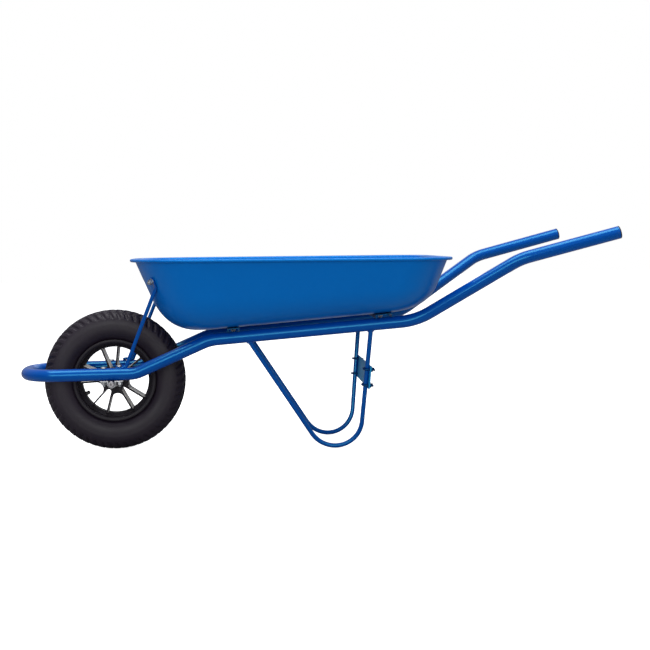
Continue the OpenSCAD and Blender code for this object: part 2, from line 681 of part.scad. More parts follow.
frame_tube();
handle_plug_left();
handle_plug_right();
leg_left();
leg_right();
leg_brace();
brace_u_bolts();
brace_nuts();
tray();
front_beam();
rear_beam();
floor_bolts();
floor_washers();
floor_nuts();
stay_left();
stay_right();
stay_bolts();
stay_washers();
stay_nuts();
axle();
axle_straps();
axle_bolts();
axle_washers();
axle_nuts();
axle_spacer_left();
axle_spacer_right();
wheel_rim();
bush_left();
bush_right();
tyre();
inner_tube();
valve_stem();
valve_cap();
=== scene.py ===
# A single-wheel garden wheelbarrow: bent tube frame, pressed tray, clamped legs and an air-filled wheel.
# Measures in the dictionaries are millimetres: back from the axle, to the pusher's right, and up from the ground.
import json
import math

import bpy
import numpy as np
from mathutils import Matrix


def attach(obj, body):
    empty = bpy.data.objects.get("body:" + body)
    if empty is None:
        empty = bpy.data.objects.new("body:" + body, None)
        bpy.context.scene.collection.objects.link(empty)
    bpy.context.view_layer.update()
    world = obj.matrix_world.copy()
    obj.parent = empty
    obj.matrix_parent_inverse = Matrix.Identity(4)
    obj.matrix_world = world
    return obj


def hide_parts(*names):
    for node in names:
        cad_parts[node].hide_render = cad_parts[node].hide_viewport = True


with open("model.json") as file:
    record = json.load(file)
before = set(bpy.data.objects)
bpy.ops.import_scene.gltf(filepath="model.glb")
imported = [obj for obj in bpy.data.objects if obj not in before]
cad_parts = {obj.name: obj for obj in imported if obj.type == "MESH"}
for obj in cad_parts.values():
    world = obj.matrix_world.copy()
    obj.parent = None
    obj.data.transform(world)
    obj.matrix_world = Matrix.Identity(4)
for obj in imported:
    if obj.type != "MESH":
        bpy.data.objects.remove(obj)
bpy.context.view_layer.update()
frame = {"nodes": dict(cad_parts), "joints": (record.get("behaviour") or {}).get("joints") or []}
axle = np.array(frame["joints"][0]["pos_m"], float)
print("frame loaded with", len(frame["nodes"]), "parts")


# vectors and placing

def unit(v):
    # a vector divided by its own length
    v = np.asarray(v, float)
    return v / np.linalg.norm(v, axis=-1, keepdims=True)


def turned(axis, degrees):
    # 3 x 3 rotation about a named axis
    return np.array(Matrix.Rotation(math.radians(degrees), 3, axis))


def angles(count):
    # evenly spaced round a full turn
    return np.linspace(0, 2 * np.pi, count, endpoint=False)


def put(part, rotation=np.eye(3), at=(0, 0, 0)):
    # the part turned, then shifted
    points, faces = part
    return points @ rotation.T + np.asarray(at, float), faces


def mirrored(part):
    # the same part on the other side of the middle plane
    return part[0] * [1, -1, 1], part[1]


def onBothSides(parts):
    return parts + [mirrored(p) for p in parts]


# grids to meshes

def skin(points, around=True, along=False, caps=True):
    # quads between the neighbours of a rows x columns grid; around joins the last column to the first,
    # along joins the last row to the first, and open end rows get one flat face each
    rows, cols = points.shape[:2]
    index = np.arange(rows * cols).reshape(rows, cols)
    wide = np.hstack([index, index[:, :1]]) if around else index
    tall = np.vstack([wide, wide[:1]]) if along else wide
    quads = np.stack([tall[:-1, :-1], tall[:-1, 1:], tall[1:, 1:], tall[1:, :-1]], -1)
    faces = [quads.reshape(-1, 4)]
    if caps and not along:
        faces += [index[:1, ::-1], index[-1:]]
    return points.reshape(-1, 3), faces


def insideOut(points, faces):
    # sums corner . (next x next-but-one) over a fan of triangles in every face: below zero is inside out
    p = points - points.mean(0)
    total = 0.0
    for f in faces:
        for k in range(1, f.shape[1] - 1):
            total += np.einsum("ij,ij->", p[f[:, 0]], np.cross(p[f[:, k]], p[f[:, k + 1]]))
    return total < 0


def newObject(name, data):
    thing = bpy.data.objects.new(name, data)
    bpy.context.scene.collection.objects.link(thing)
    return thing


def makePiece(name, parts, body, materials, stands=(), crease=33):
    # stands names the plain parts that this piece takes the place of; crease is in degrees
    spots, corners, counts, start = [], [], [], 0
    for points, faces in parts:
        if insideOut(points, faces):
            faces = [f[:, ::-1] for f in faces]
        for f in faces:
            corners.append((f + start).ravel())
            counts.append(np.full(len(f), f.shape[1]))
        spots.append(points)
        start += len(points)
    spots = np.vstack(spots) * 0.001 + [axle[0], 0, 0]
    corners, counts = (np.concatenate(a).astype(np.int32) for a in (corners, counts))
    mesh = bpy.data.meshes.new(name)
    mesh.vertices.add(len(spots))
    mesh.vertices.foreach_set("co", spots.astype(np.float32).ravel())
    mesh.loops.add(len(corners))
    mesh.loops.foreach_set("vertex_index", corners)
    mesh.polygons.add(len(counts))
    mesh.polygons.foreach_set("loop_start", (np.cumsum(counts) - counts).astype(np.int32))
    mesh.update(calc_edges=True)
    mesh.validate()
    mesh.shade_smooth()
    mesh.set_sharp_from_angle(angle=math.radians(crease))
    for m in materials:
        mesh.materials.append(m)
    piece = newObject(name, mesh)
    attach(piece, body)
    if stands:
        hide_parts(*stands)
    return piece


# outlines, paths and profiles

def softCorners(outline, radius, steps=3):
    # each corner of a closed outline becomes a curve (1-t)^2 a + 2t(1-t) corner + t^2 b, where a and b lie
    # on its two edges, no further off than the radius or 0.45 of the edge
    p = np.asarray(outline, float)
    before, after = np.roll(p, 1, 0) - p, np.roll(p, -1, 0) - p
    def reach(e):
        length = np.linalg.norm(e, axis=1, keepdims=True)
        return p + e / length * np.minimum(radius, 0.45 * length)
    a, b = reach(before), reach(after)
    t = np.linspace(0, 1, steps + 1)[None, :, None]
    curve = (1 - t) ** 2 * a[:, None] + 2 * t * (1 - t) * p[:, None] + t ** 2 * b[:, None]
    return curve.reshape(-1, p.shape[1])


def bentLine(points, bends, step=4.0):
    # straight runs joined by arcs; an arc starts bend * tan(half the turn) before its corner
    p = np.asarray(points, float)
    line = [p[:1]]
    for a, b, c, bend in zip(p[:-2], p[1:-1], p[2:], bends[1:-1]):
        d1, d2 = unit(b - a), unit(c - b)
        turn = math.acos(np.clip(d1 @ d2, -1, 1))
        inward = unit(d2 - d1 * (d1 @ d2))
        centre = b - d1 * bend * math.tan(turn / 2) + inward * bend
        t = np.linspace(0, turn, max(int(bend * turn / step), 5) + 1)[:, None]
        line.append(centre + bend * (np.sin(t) * d1 - np.cos(t) * inward))
    return np.vstack(line + [p[-1:]])


def runAlong(line):
    return np.concatenate([[0], np.cumsum(np.linalg.norm(np.diff(line, axis=0), axis=1))])


def walked(line, spacing):
    # the same line with points every `spacing`, found by their distance along it
    run = runAlong(line)
    s = np.arange(0, run[-1], spacing) if np.isscalar(spacing) else np.asarray(spacing)
    if np.isscalar(spacing):
        s = np.append(s, run[-1])
    return np.stack([np.interp(s, run, line[:, k]) for k in range(3)], 1), s


def sweep(line, ref, wide, tall=None, sides=24, square=2.0):
    # ring = point + wide * |cos|^(2/square) * side + tall * |sin|^(2/square) * up, where side is the
    # line's direction x ref; wide and tall may be one number, one per ring, or one per ring and side
    ahead = unit(np.gradient(line, axis=0))
    side = unit(np.cross(ahead, ref))
    up = np.cross(side, ahead)
    t = angles(sides)
    power = 2 / np.broadcast_to(np.asarray(square, float).reshape(-1, 1), (len(line), 1))
    c = bulge(np.cos(t), power)
    s = bulge(np.sin(t), power)
    def spread(v):
        v = np.asarray(v, float)
        return np.broadcast_to(v[:, None] if v.ndim == 1 else v, (len(line), sides))
    w = spread(wide)
    h = w if tall is None else spread(tall)
    return line[:, None] + (w * c)[..., None] * side[:, None] + (h * s)[..., None] * up[:, None]


def bulge(v, power):
    # a power of the size of v that keeps its sign
    return np.sign(v) * np.abs(v) ** power


def ringsAt(r, t, z):
    # one point at each angle t and height z, r off the upright axis
    return np.stack([r * np.cos(t), r * np.sin(t), np.repeat(z[:, None], len(t), 1)], -1)


def lathe(profile, sides=48, closed=False, wave=None):
    # every (radius, height) of the profile carried round the upright axis; wave scales the radius by angle
    p = np.asarray(profile, float)
    t = angles(sides)
    r = p[:, :1] * (1 if wave is None else wave(t)[None])
    return skin(ringsAt(r, t, p[:, 1]), along=closed)


def hexShape(flats, rows, closed=False, sides=60):
    # radius = the smaller of a hexagon's own, half flats / cos(angle from the nearest flat), and a round
    # limit per row, which is what turns off the corners
    t = angles(sides)
    hexagon = flats / 2 / np.cos((t + np.pi / 6) % (np.pi / 3) - np.pi / 6)
    rows = np.asarray(rows, float)
    r = np.minimum(hexagon[None], rows[:, :1])
    return skin(ringsAt(r, t, rows[:, 1]), along=closed)


def plate(outline, thick, edge=0.6):
    # a flat sheet from z = 0 up: its outline shrinks by the edge at both faces
    p = np.asarray(outline, float)
    along = np.roll(p, -1, 0) - np.roll(p, 1, 0)
    out = unit(np.stack([along[:, 1], -along[:, 0]], 1))
    area = np.sum(p[:, 0] * np.roll(p[:, 1], -1) - np.roll(p[:, 0], -1) * p[:, 1])
    out = out * np.sign(area)
    k = np.linspace(0, np.pi / 2, 4)
    inset = np.concatenate([edge * (1 - np.sin(k)), edge * (1 - np.cos(k))])
    level = np.concatenate([edge * (1 - np.cos(k)), thick - edge * (1 - np.sin(k))])
    ring = p[None] - out[None] * inset[:, None, None]
    z = np.broadcast_to(level[:, None, None], ring.shape[:2] + (1,))
    return skin(np.concatenate([ring, z], -1))


def nutPart(kind):
    # chamfered both ends, with a countersunk bore
    k, h, r = kind["flats"] / 2, kind["nut"], kind["radius"]
    full = k / math.cos(math.pi / 6)
    rows = [(r + 0.9, 0), (k * 0.97, 0), (k * 1.02, 0.22), (k * 1.08, 0.5), (full, 0.85),
            (full, h - 0.85), (k * 1.08, h - 0.5), (k * 1.02, h - 0.22), (k * 0.97, h), (r + 0.9, h),
            (r + 0.06, h - 0.85), (r + 0.06, 0.85)]
    return hexShape(kind["flats"], rows, closed=True)


def washerPart(kind):
    r, o, t = kind["radius"] + 0.3, kind["washer"], washerThick
    return lathe(softCorners([(r, 0), (o, 0), (o, t), (r, t)], 0.35), closed=True)


def saw(x):
    # 0 to 1 to 0 once in each whole number, with a flat crest like a cut thread
    return np.clip(np.abs((x % 1) * 2 - 1) * 1.3 - 0.1, 0, 1)


def shankPart(kind, length, threaded, sides=20):
    # a rod whose radius dips by the thread's depth along a helix, height / pitch - angle / full turn
    r, pitch = kind["radius"], kind["pitch"]
    z = np.concatenate([np.linspace(0, length - threaded, 3)[:-1],
                        np.arange(length - threaded, length - 0.01, pitch / 5), [length - 0.01, length]])
    t = angles(sides)
    cut = np.clip((z - (length - threaded)) / pitch, 0, 1)[:, None]
    radius = r - cut * 0.55 * pitch * saw(z[:, None] / pitch - t[None] / (2 * np.pi))
    radius = np.minimum(radius, r - 0.25 + np.clip(length - z, 0, 0.9)[:, None] * 0.9)
    return skin(ringsAt(radius, t, z))


washerThick = 1.6
m6 = dict(radius=3.0, pitch=1.0, flats=10.0, nut=5.0, washer=6.0)
m8 = dict(radius=4.0, pitch=1.25, flats=13.0, nut=6.5, washer=8.0)


def hexBolt(kind, length, threaded=14):
    # head below z = 0, shank above it
    k, h = kind["flats"] / 2, kind["nut"] - 1
    full = k / math.cos(math.pi / 6)
    head = hexShape(kind["flats"], [(k * 0.6, -h), (k * 0.93, -h), (k * 1.02, -h + 0.25), (k * 1.08, -h + 0.5),
                                    (full, -h + 0.85), (full, -0.3), (k * 0.96, -0.25), (k * 0.96, 0)])
    return [head, shankPart(kind, length, threaded)]


def uBolt(kind, bend, leg, threaded):
    # two legs along +z and a half circle below; the thread is cut on the last stretch of each leg
    arc = np.pi * bend
    total = 2 * leg + arc
    dense = np.arange(0, threaded, kind["pitch"] / 5)
    s = np.concatenate([dense, np.linspace(threaded, leg, 4)[:-1], np.linspace(leg, leg + arc, 28),
                        total - np.linspace(threaded, leg, 4)[:-1][::-1], total - dense[::-1]])
    a = np.clip(s - leg, 0, arc) / bend
    z = np.where(s < leg, leg - s, np.where(s > leg + arc, s - leg - arc, -bend * np.sin(a)))
    line = np.stack([bend * np.cos(a), np.zeros_like(s), z], 1)
    t = angles(20)
    end = np.minimum(s, total - s)
    cut = np.clip((threaded - end) / kind["pitch"], 0, 1)[:, None]
    r = kind["radius"] - cut * 0.55 * kind["pitch"] * saw(end[:, None] / kind["pitch"] - t[None] / (2 * np.pi))
    r = np.minimum(r, kind["radius"] - 0.5 + np.clip(end, 0, 0.8)[:, None])
    return skin(sweep(line, (0, 1, 0), r, sides=20))


# shared places on the frame

railGap, railZ, seatGap = 200.0, 209.1, 0.1  # between the rails' middles, their height, a resting gap
wholeLength, loopReach, plugFlange, beamTall = 1524, 227, 2.5, 9.5
deckRise, deckRun = 42, 531  # the rails climb this much over this length under the tray
tube = dict(radius=16.0, wall=2.0, sides=56, grip=246.0, splay=13.0, tipY=278.0, tipZ=548.0, bendZ=487.0)
gripDir = unit([tube["grip"], tube["splay"], tube["tipZ"] - tube["bendZ"]])
plugReach = (plugFlange + seatGap) * gripDir[0]  # how far the plug stands out past the tube's end
tipX = wholeLength - loopReach - tube["radius"] - plugReach - tube["radius"] * math.sqrt(1 - gripDir[0] ** 2)
tip = np.array([tipX, tube["tipY"], tube["tipZ"]])
hand = np.array([tipX - tube["grip"], tube["tipY"] - tube["splay"], tube["bendZ"]])
rearBend = np.array([783.0, 160.0, railZ + 124])
deckBend = np.array([252.0, railGap / 2, railZ + 82])
halfPath = np.array([tip, hand, rearBend, deckBend, [60, railGap / 2, railZ], [-loopReach, railGap / 2, railZ]])
halfBends = [0, 110, 150, 120, 70, 90]
deckTilt = math.degrees(math.atan2(deckRise, deckRun))
deckTurn = turned("Y", -deckTilt)


def railAt(x):
    # the straight rail under the tray: between its two bends in proportion to x
    return deckBend + (rearBend - deckBend) * (x - deckBend[0]) / (rearBend[0] - deckBend[0])


def deckZ(x, height):
    # height above the rail centres, square to the sloping deck
    return railAt(x)[2] + height / math.cos(math.radians(deckTilt))


def onDeck(part, x, y, height):
    base = np.array([x, y, railAt(x)[2]])
    return put(part, deckTurn, base + deckTurn @ np.array([0, 0, height]))


# tray shape

tray = dict(length=821.0, width=590.0, frontWidth=478.0, rim=495.0, rise=8.0, sheet=1.5, bead=4.0, lip=14.0, drop=8.0,
            wallRadii=(165.0, 105.0), footRadii=(125.0, 98.0), footIn=(76.5, 42.5, 50.0, 61.0),
            floorCurve=92.0, wallShare=0.5, arcSteps=36, sideSteps=20, endSteps=12, curveSteps=16)
wallFront, wallRear = 66.5, 66.5 + tray["length"] - 2 * tray["lip"]
wallBox = (wallFront, wallRear, tray["frontWidth"] / 2 - tray["lip"], tray["width"] / 2 - tray["lip"])
footBox = (wallFront + tray["footIn"][0], wallRear - tray["footIn"][1],
           wallBox[2] - tray["footIn"][2], wallBox[3] - tray["footIn"][3])
floorHeight = tube["radius"] + beamTall + 2 * seatGap


def trayOutline(box, radii, off):
    # round front and rear corners of two radii joined by straight sides that touch both; off moves it outward
    xf, xr, yf, yr = box
    rf, rr = radii
    dx, dy = xr - rr - xf - rf, yr - rr - yf + rf
    a = math.atan2(dy, dx) + math.acos((rf - rr) / math.hypot(dx, dy))
    rear = np.linspace(0, a, tray["arcSteps"])
    front = np.linspace(a, np.pi, tray["arcSteps"])
    rearArc = np.stack([xr - rr + (rr + off) * np.cos(rear), yr - rr + (rr + off) * np.sin(rear)], 1)
    frontArc = np.stack([xf + rf + (rf + off) * np.cos(front), yf - rf + (rf + off) * np.sin(front)], 1)
    t = np.linspace(0, 1, tray["sideSteps"])[1:-1, None]
    side = rearArc[-1] * (1 - t) + frontArc[0] * t
    half = np.vstack([rearArc, side, frontArc])
    other = half[::-1] * [1, -1]
    t = np.linspace(0, 1, tray["endSteps"])[1:-1, None]
    frontEdge = half[-1] * (1 - t) + other[0] * t
    rearEdge = other[-1] * (1 - t) + half[0] * t
    return np.vstack([half, frontEdge, other, rearEdge])


def rimAt(x):
    # the rim climbs a little, evenly, from the back to the front
    return tray["rim"] + tray["rise"] * (wallRear - x) / (wallRear - wallFront)


def wallRing(off, up):
    p = trayOutline(wallBox, tray["wallRadii"], off)
    return np.column_stack([p, rimAt(p[:, 0]) + up])


def footRing(off, up):
    p = trayOutline(footBox, tray["footRadii"], off)
    slope = railAt(p[:, :1])[:, 2]
    return np.column_stack([p, slope + (floorHeight + up) / math.cos(math.radians(deckTilt))])


def curveRing(t, off, up):
    # (1-t)^2 floor + 2t(1-t) foot line + t^2 half way up the wall
    floor, foot, wall = footRing(-tray["floorCurve"], up), footRing(off, up), wallRing(off, -tray["drop"])
    top = foot * (1 - tray["wallShare"]) + wall * tray["wallShare"]
    return floor * (1 - t) ** 2 + foot * 2 * t * (1 - t) + top * t * t


def shrunk(ring, share):
    # the floor inside the curve, drawn in toward a short line along the middle
    middle = np.column_stack([np.clip(ring[:, 0], 380, 560), np.zeros(len(ring)), np.zeros(len(ring))])
    p = middle + (ring - middle) * share
    slope = deckRise / deckRun
    p[:, 2] = ring[:, 2] - slope * ring[:, 0] + slope * p[:, 0]
    return p


def trayShell():
    # one skin from the middle of the floor underneath, up the outside, round the bead and down the inside
    bead, lip = tray["bead"], tray["lip"]
    centre = lip - bead
    inner = tray["sheet"] * 1.08
    under = [shrunk(curveRing(0, 0, 0), k) for k in (0.02, 0.25, 0.5, 0.75, 0.97)]
    outside = [curveRing(t, 0, 0) for t in np.linspace(0, 1, tray["curveSteps"])]
    wallMid = [outside[-1] * (1 - k) + wallRing(0, -tray["drop"]) * k for k in (0.33, 0.67)]
    neck = [wallRing(0, -tray["drop"])] + [wallRing(*k) for k in ((0.3, -6), (1.2, -4.6), (2.6, -3.6), (4, -3.2))]
    roll = [wallRing(centre + bead * math.cos(a), -bead + bead * math.sin(a))
            for a in np.radians(np.linspace(200, 440, 17))]
    top = [wallRing(centre - 2.5, -0.25), wallRing(4, -0.8), wallRing(2, -1.15), wallRing(0.6, -2),
           wallRing(-0.6, -3.6), wallRing(-inner + 0.15, -5.6), wallRing(-inner, -tray["drop"])]
    inside = [curveRing(t, -inner, tray["sheet"]) for t in np.linspace(1, 0, tray["curveSteps"])]
    innerMid = [wallRing(-inner, -tray["drop"]) * (1 - k) + inside[0] * k for k in (0.33, 0.67)]
    over = [shrunk(curveRing(0, -inner, tray["sheet"]), k) for k in (0.97, 0.75, 0.5, 0.25, 0.02)]
    return skin(np.array(under + outside + wallMid + neck + roll + top + innerMid + inside + over))


# the stay bolt's place on the curved front corner of the tray
stay = dict(rod=5.0, tab=17.0, thick=4.0, turn=37.0, boltZ=449.0, footFrom=11.0, footTo=41.0, bolt=20.0)
stayAway = np.array([-math.cos(math.radians(stay["turn"])), math.sin(math.radians(stay["turn"]))])


def onCorner(box, radius):
    return np.array([box[0] + radius, box[2] - radius]) + radius * stayAway


stayFoot, stayWall = onCorner(footBox, tray["footRadii"][0]), onCorner(wallBox, tray["wallRadii"][0])
stayLow, stayHigh = deckZ(stayFoot[0], floorHeight), rimAt(stayWall[0]) - tray["drop"]
stayShare = (stay["boltZ"] - stayLow) / (stayHigh - stayLow)
stayLean = math.degrees(math.atan2((stayWall - stayFoot) @ stayAway, stayHigh - stayLow))
stayBolt = np.append(stayFoot * (1 - stayShare) + stayWall * stayShare, stay["boltZ"])
wallTurn = turned("Z", 180 - stay["turn"]) @ turned("Y", 90 + stayLean)  # z out of the wall, x down it
clampTop = railZ + tube["radius"] + seatGap

# the bent leg bar and the brace across the two rear bars
leg = dict(radius=6.0, frontX=347.5, rearX=668.0, apexX=623.0, apexY=95.2, bend=71.0, weld=2.4)
brace = dict(z=188.0, height=60.0, thick=3.0, beyond=24.0, bolts=21.0)


def legLow(z):
    # how low the bent bar reaches when the sharp corner of its line is at height z
    a = np.array([leg["apexX"], leg["apexY"], z])
    u, v = unit(railAt(leg["frontX"]) - a), unit(railAt(leg["rearX"]) - a)
    half = math.acos(u @ v) / 2
    centre = a + unit(u + v) * leg["bend"] / math.sin(half)
    n = unit(np.cross(u, v))
    return centre[2] - leg["bend"] * math.sqrt(1 - n[2] ** 2) - leg["radius"]


apexZ = -136.0
for _ in range(8):
    apexZ -= legLow(apexZ)
legApex = np.array([leg["apexX"], leg["apexY"], apexZ])
legUp = unit(railAt(leg["rearX"]) - legApex)
bracePoint = legApex + legUp * (brace["z"] - legApex[2]) / legUp[2]
braceTurn = turned("Y", math.degrees(math.atan2(legUp[0], legUp[2])))
barTurn = braceTurn @ turned("X", -math.degrees(math.atan2(legUp[1], math.hypot(legUp[0], legUp[2]))))


# finishes

def socketsOf(group, takes, gives):
    for kind, name, value in takes:
        s = group.interface.new_socket(name, in_out="INPUT", socket_type="NodeSocket" + kind)
        s.default_value = value
    for kind, name in gives:
        group.interface.new_socket(name, in_out="OUTPUT", socket_type="NodeSocket" + kind)


class NodeTree:
    # short names for adding and joining nodes
    def __init__(self, tree):
        self.tree = tree
        self.spot = 0

    def add(self, kind, inputs=None, **settings):
        node = self.tree.nodes.new(kind)
        node.location = (self.spot * 190, -120 * (self.spot % 4))
        self.spot += 1
        for key, value in settings.items():
            setattr(node, key, value)
        for key, value in (inputs or {}).items():
            if isinstance(value, bpy.types.NodeSocket):
                self.tree.links.new(value, node.inputs[key])
            else:
                node.inputs[key].default_value = value
        return node

    def noise(self, where, scale, detail=3.0, rough=0.55, distort=0.0):
        return self.add("ShaderNodeTexNoise", {"Vector": where, "Scale": scale, "Detail": detail,
                                               "Roughness": rough, "Distortion": distort}).outputs["Fac"]

    def sums(self, operation, a, b=0.0, c=0.0):
        return self.add("ShaderNodeMath", {0: a, 1: b, 2: c}, operation=operation).outputs[0]

    def ramp(self, value, low, high, to=(0.0, 1.0)):
        return self.add("ShaderNodeMapRange", {"Value": value, "From Min": low, "From Max": high,
                                               "To Min": to[0], "To Max": to[1]}).outputs["Result"]

    def mix(self, share, a, b):
        return self.add("ShaderNodeMix", {0: share, 6: a, 7: b}, data_type="RGBA").outputs[2]


def emptyTree(owner):
    owner.use_nodes = True
    owner.node_tree.nodes.clear()
    return NodeTree(owner.node_tree)


def newGroup(name, takes, gives):
    group = bpy.data.node_groups.new(name, "ShaderNodeTree")
    socketsOf(group, takes, gives)
    n = NodeTree(group)
    source = n.add("NodeGroupInput").outputs
    place = n.add("ShaderNodeTexCoord").outputs["Object"]
    return n, source, place


def closeGroup(n, results):
    n.add("NodeGroupOutput", results)
    return n.tree


def edgeWearGroup():
    # worn edges: where the surface is sharply convex, broken up by noise
    n, source, place = newGroup("edgeWear", [("Float", "Amount", 0.5), ("Float", "Grain", 300.0)],
                                [("Float", "Mask")])
    sharp = n.ramp(n.add("ShaderNodeNewGeometry").outputs["Pointiness"], 0.53, 0.62)
    broken = n.ramp(n.noise(place, source["Grain"], 4.0, 0.7), 0.52, 0.66)
    mask = n.sums("MULTIPLY", n.sums("MULTIPLY", sharp, broken), source["Amount"])
    return closeGroup(n, {"Mask": n.ramp(mask, 0.0, 1.0)})


def sprayedPaintGroup():
    # sprayed and baked paint: broad tone drift, orange peel, fine specks, faint handling scratches
    n, source, place = newGroup(
        "sprayedPaint",
        [("Color", "Colour", (0, 0.1, 0.35, 1)), ("Color", "Deep", (0, 0.05, 0.2, 1)),
         ("Color", "Bare", (0.3, 0.32, 0.35, 1)), ("Float", "Rough", 0.3), ("Float", "Peel", 0.15),
         ("Float", "Wear", 0.3)],
        [("Color", "Colour"), ("Float", "Roughness"), ("Float", "Bare"), ("Vector", "Normal")])
    drift = n.ramp(n.noise(place, 3.5, 2.0), 0.3, 0.72)
    specks = n.ramp(n.noise(place, 420.0, 2.0, 0.6), 0.35, 0.75)
    tone = n.sums("ADD", n.sums("MULTIPLY", drift, 0.32), n.sums("MULTIPLY", specks, 0.16))
    worn = n.add("ShaderNodeGroup", {"Amount": source["Wear"], "Grain": 260.0}, node_tree=edgeWear).outputs["Mask"]
    long = n.add("ShaderNodeMapping", {"Vector": place, "Scale": (9.0, 60.0, 260.0)}).outputs["Vector"]
    scratch = n.ramp(n.noise(long, 3.0, 5.0, 0.75, 0.6), 0.66, 0.74)
    colour = n.mix(tone, source["Colour"], source["Deep"])
    colour = n.mix(worn, colour, source["Bare"])
    rough = n.sums("ADD", source["Rough"], n.sums("MULTIPLY", n.noise(place, 14.0, 4.0), 0.10))
    rough = n.sums("ADD", rough, n.sums("MULTIPLY", scratch, 0.07))
    peel = n.noise(place, 230.0, 2.0, 0.45)
    height = n.sums("SUBTRACT", peel, n.sums("MULTIPLY", scratch, 0.1))
    bump = n.add("ShaderNodeBump", {"Strength": source["Peel"], "Distance": 0.0004, "Height": height})
    return closeGroup(n, {"Colour": colour, "Roughness": rough, "Bare": worn, "Normal": bump.outputs["Normal"]})


def platedSteelGroup():
    # zinc or bright steel: cloudy crystals, darker spots, a fine bumpy grain
    n, source, place = newGroup(
        "platedSteel",
        [("Color", "Colour", (0.6, 0.6, 0.62, 1)), ("Color", "Spots", (0.3, 0.28, 0.25, 1)),
         ("Float", "Rough", 0.3), ("Float", "Tarnish", 0.3)],
        [("Color", "Colour"), ("Float", "Roughness"), ("Vector", "Normal")])
    cloud = n.noise(place, 180.0, 5.0, 0.65, 0.4)
    crystal = n.add("ShaderNodeTexVoronoi", {"Vector": place, "Scale": 420.0}).outputs["Color"]
    bright = n.add("ShaderNodeSeparateColor", {"Color": crystal}).outputs[0]
    spots = n.sums("MULTIPLY", n.ramp(cloud, 0.5, 0.75), source["Tarnish"])
    colour = n.mix(spots, source["Colour"], source["Spots"])
    colour = n.mix(n.sums("MULTIPLY", bright, 0.16), colour, (0.9, 0.92, 0.95, 1))
    rough = n.sums("ADD", source["Rough"], n.sums("MULTIPLY", cloud, 0.25))
    fine = n.noise(place, 1500.0, 3.0, 0.6)
    bump = n.add("ShaderNodeBump", {"Strength": 0.25, "Distance": 0.0001, "Height": fine})
    return closeGroup(n, {"Colour": colour, "Roughness": rough, "Normal": bump.outputs["Normal"]})


def mouldedSkinGroup():
    # moulded rubber or plastic: fine pebbling, dusty bloom in patches, rubbed high spots
    n, source, place = newGroup(
        "mouldedSkin",
        [("Color", "Colour", (0.02, 0.02, 0.02, 1)), ("Color", "Bloom", (0.1, 0.1, 0.1, 1)),
         ("Float", "Rough", 0.5), ("Float", "Dust", 0.3), ("Float", "Pebble", 0.2), ("Float", "Grain", 700.0)],
        [("Color", "Colour"), ("Float", "Roughness"), ("Vector", "Normal")])
    patch = n.ramp(n.noise(place, 16.0, 5.0, 0.62, 0.3), 0.4, 0.72)
    fine = n.noise(place, source["Grain"], 3.0, 0.6)
    dust = n.sums("MULTIPLY", n.sums("MULTIPLY", patch, n.ramp(fine, 0.3, 0.7)), source["Dust"])
    rubbed = n.ramp(n.add("ShaderNodeNewGeometry").outputs["Pointiness"], 0.5, 0.62, (0.0, 0.35))
    colour = n.mix(dust, source["Colour"], source["Bloom"])
    colour = n.mix(rubbed, colour, source["Bloom"])
    rough = n.sums("ADD", source["Rough"], n.sums("MULTIPLY", patch, 0.14))
    bump = n.add("ShaderNodeBump", {"Strength": source["Pebble"], "Distance": 0.0003, "Height": fine})
    return closeGroup(n, {"Colour": colour, "Roughness": rough, "Normal": bump.outputs["Normal"]})


edgeWear = edgeWearGroup()
sprayedPaint, platedSteel, mouldedSkin = sprayedPaintGroup(), platedSteelGroup(), mouldedSkinGroup()


def newFinish(name, group, settings, shader):
    # one material: the group's outputs go to the shader, and fixed values are set on the shader itself
    m = bpy.data.materials.new(name)
    n = emptyTree(m)
    made = n.add("ShaderNodeGroup", settings, node_tree=group).outputs
    p = n.add("ShaderNodeBsdfPrincipled", {"Base Color": made["Colour"], "Roughness": made["Roughness"],
                                           "Normal": made["Normal"], **shader})
    if "Bare" in made:
        m.node_tree.links.new(made["Bare"], p.inputs["Metallic"])
    n.add("ShaderNodeOutputMaterial", {"Surface": p.outputs["BSDF"]})
    m.diffuse_color = settings["Colour"]
    return m


def bluePaint(name, colour, deep, rough, peel, wear, tint=(0.12, 0.75, 1.0, 1), specular=0.6):
    return newFinish(name, sprayedPaint,
                     {"Colour": colour + (1,), "Deep": deep + (1,), "Rough": rough, "Peel": peel, "Wear": wear},
                     {"Specular Tint": tint, "Specular IOR Level": specular})


trayPaint = bluePaint("trayBlue", (0.0, 0.140, 0.54), (0.0, 0.112, 0.46), 0.26, 0.07, 0.3)
tubePaint = bluePaint("tubeBlue", (0.0, 0.058, 0.36), (0.0, 0.040, 0.28), 0.11, 0.07, 0.3, specular=0.85)
barPaint = bluePaint("barBlue", (0.0, 0.060, 0.36), (0.0, 0.040, 0.27), 0.14, 0.08, 0.3, specular=0.9)
beamPaint = bluePaint("beamBlue", (0.0, 0.018, 0.12), (0.0, 0.012, 0.08), 0.32, 0.12, 0.3)
# the brace's blue is painted far lighter and more cyan than the bars': a painted reflection of the bright sky on the
# plate's front face
bracePaintedReflection = bluePaint("braceBlueWithPaintedReflection", (0.02, 0.30, 0.62), (0.0, 0.22, 0.50), 0.35, 0.10, 0.3, specular=0.4)
zinc = newFinish("zincPlate", platedSteel, {"Colour": (0.46, 0.47, 0.49, 1), "Rough": 0.28, "Tarnish": 0.45},
                 {"Metallic": 1.0})
brightSteel = newFinish("brightSteel", platedSteel, {"Colour": (0.26, 0.25, 0.26, 1), "Rough": 0.34, "Tarnish": 0.5},
                        {"Metallic": 1.0})
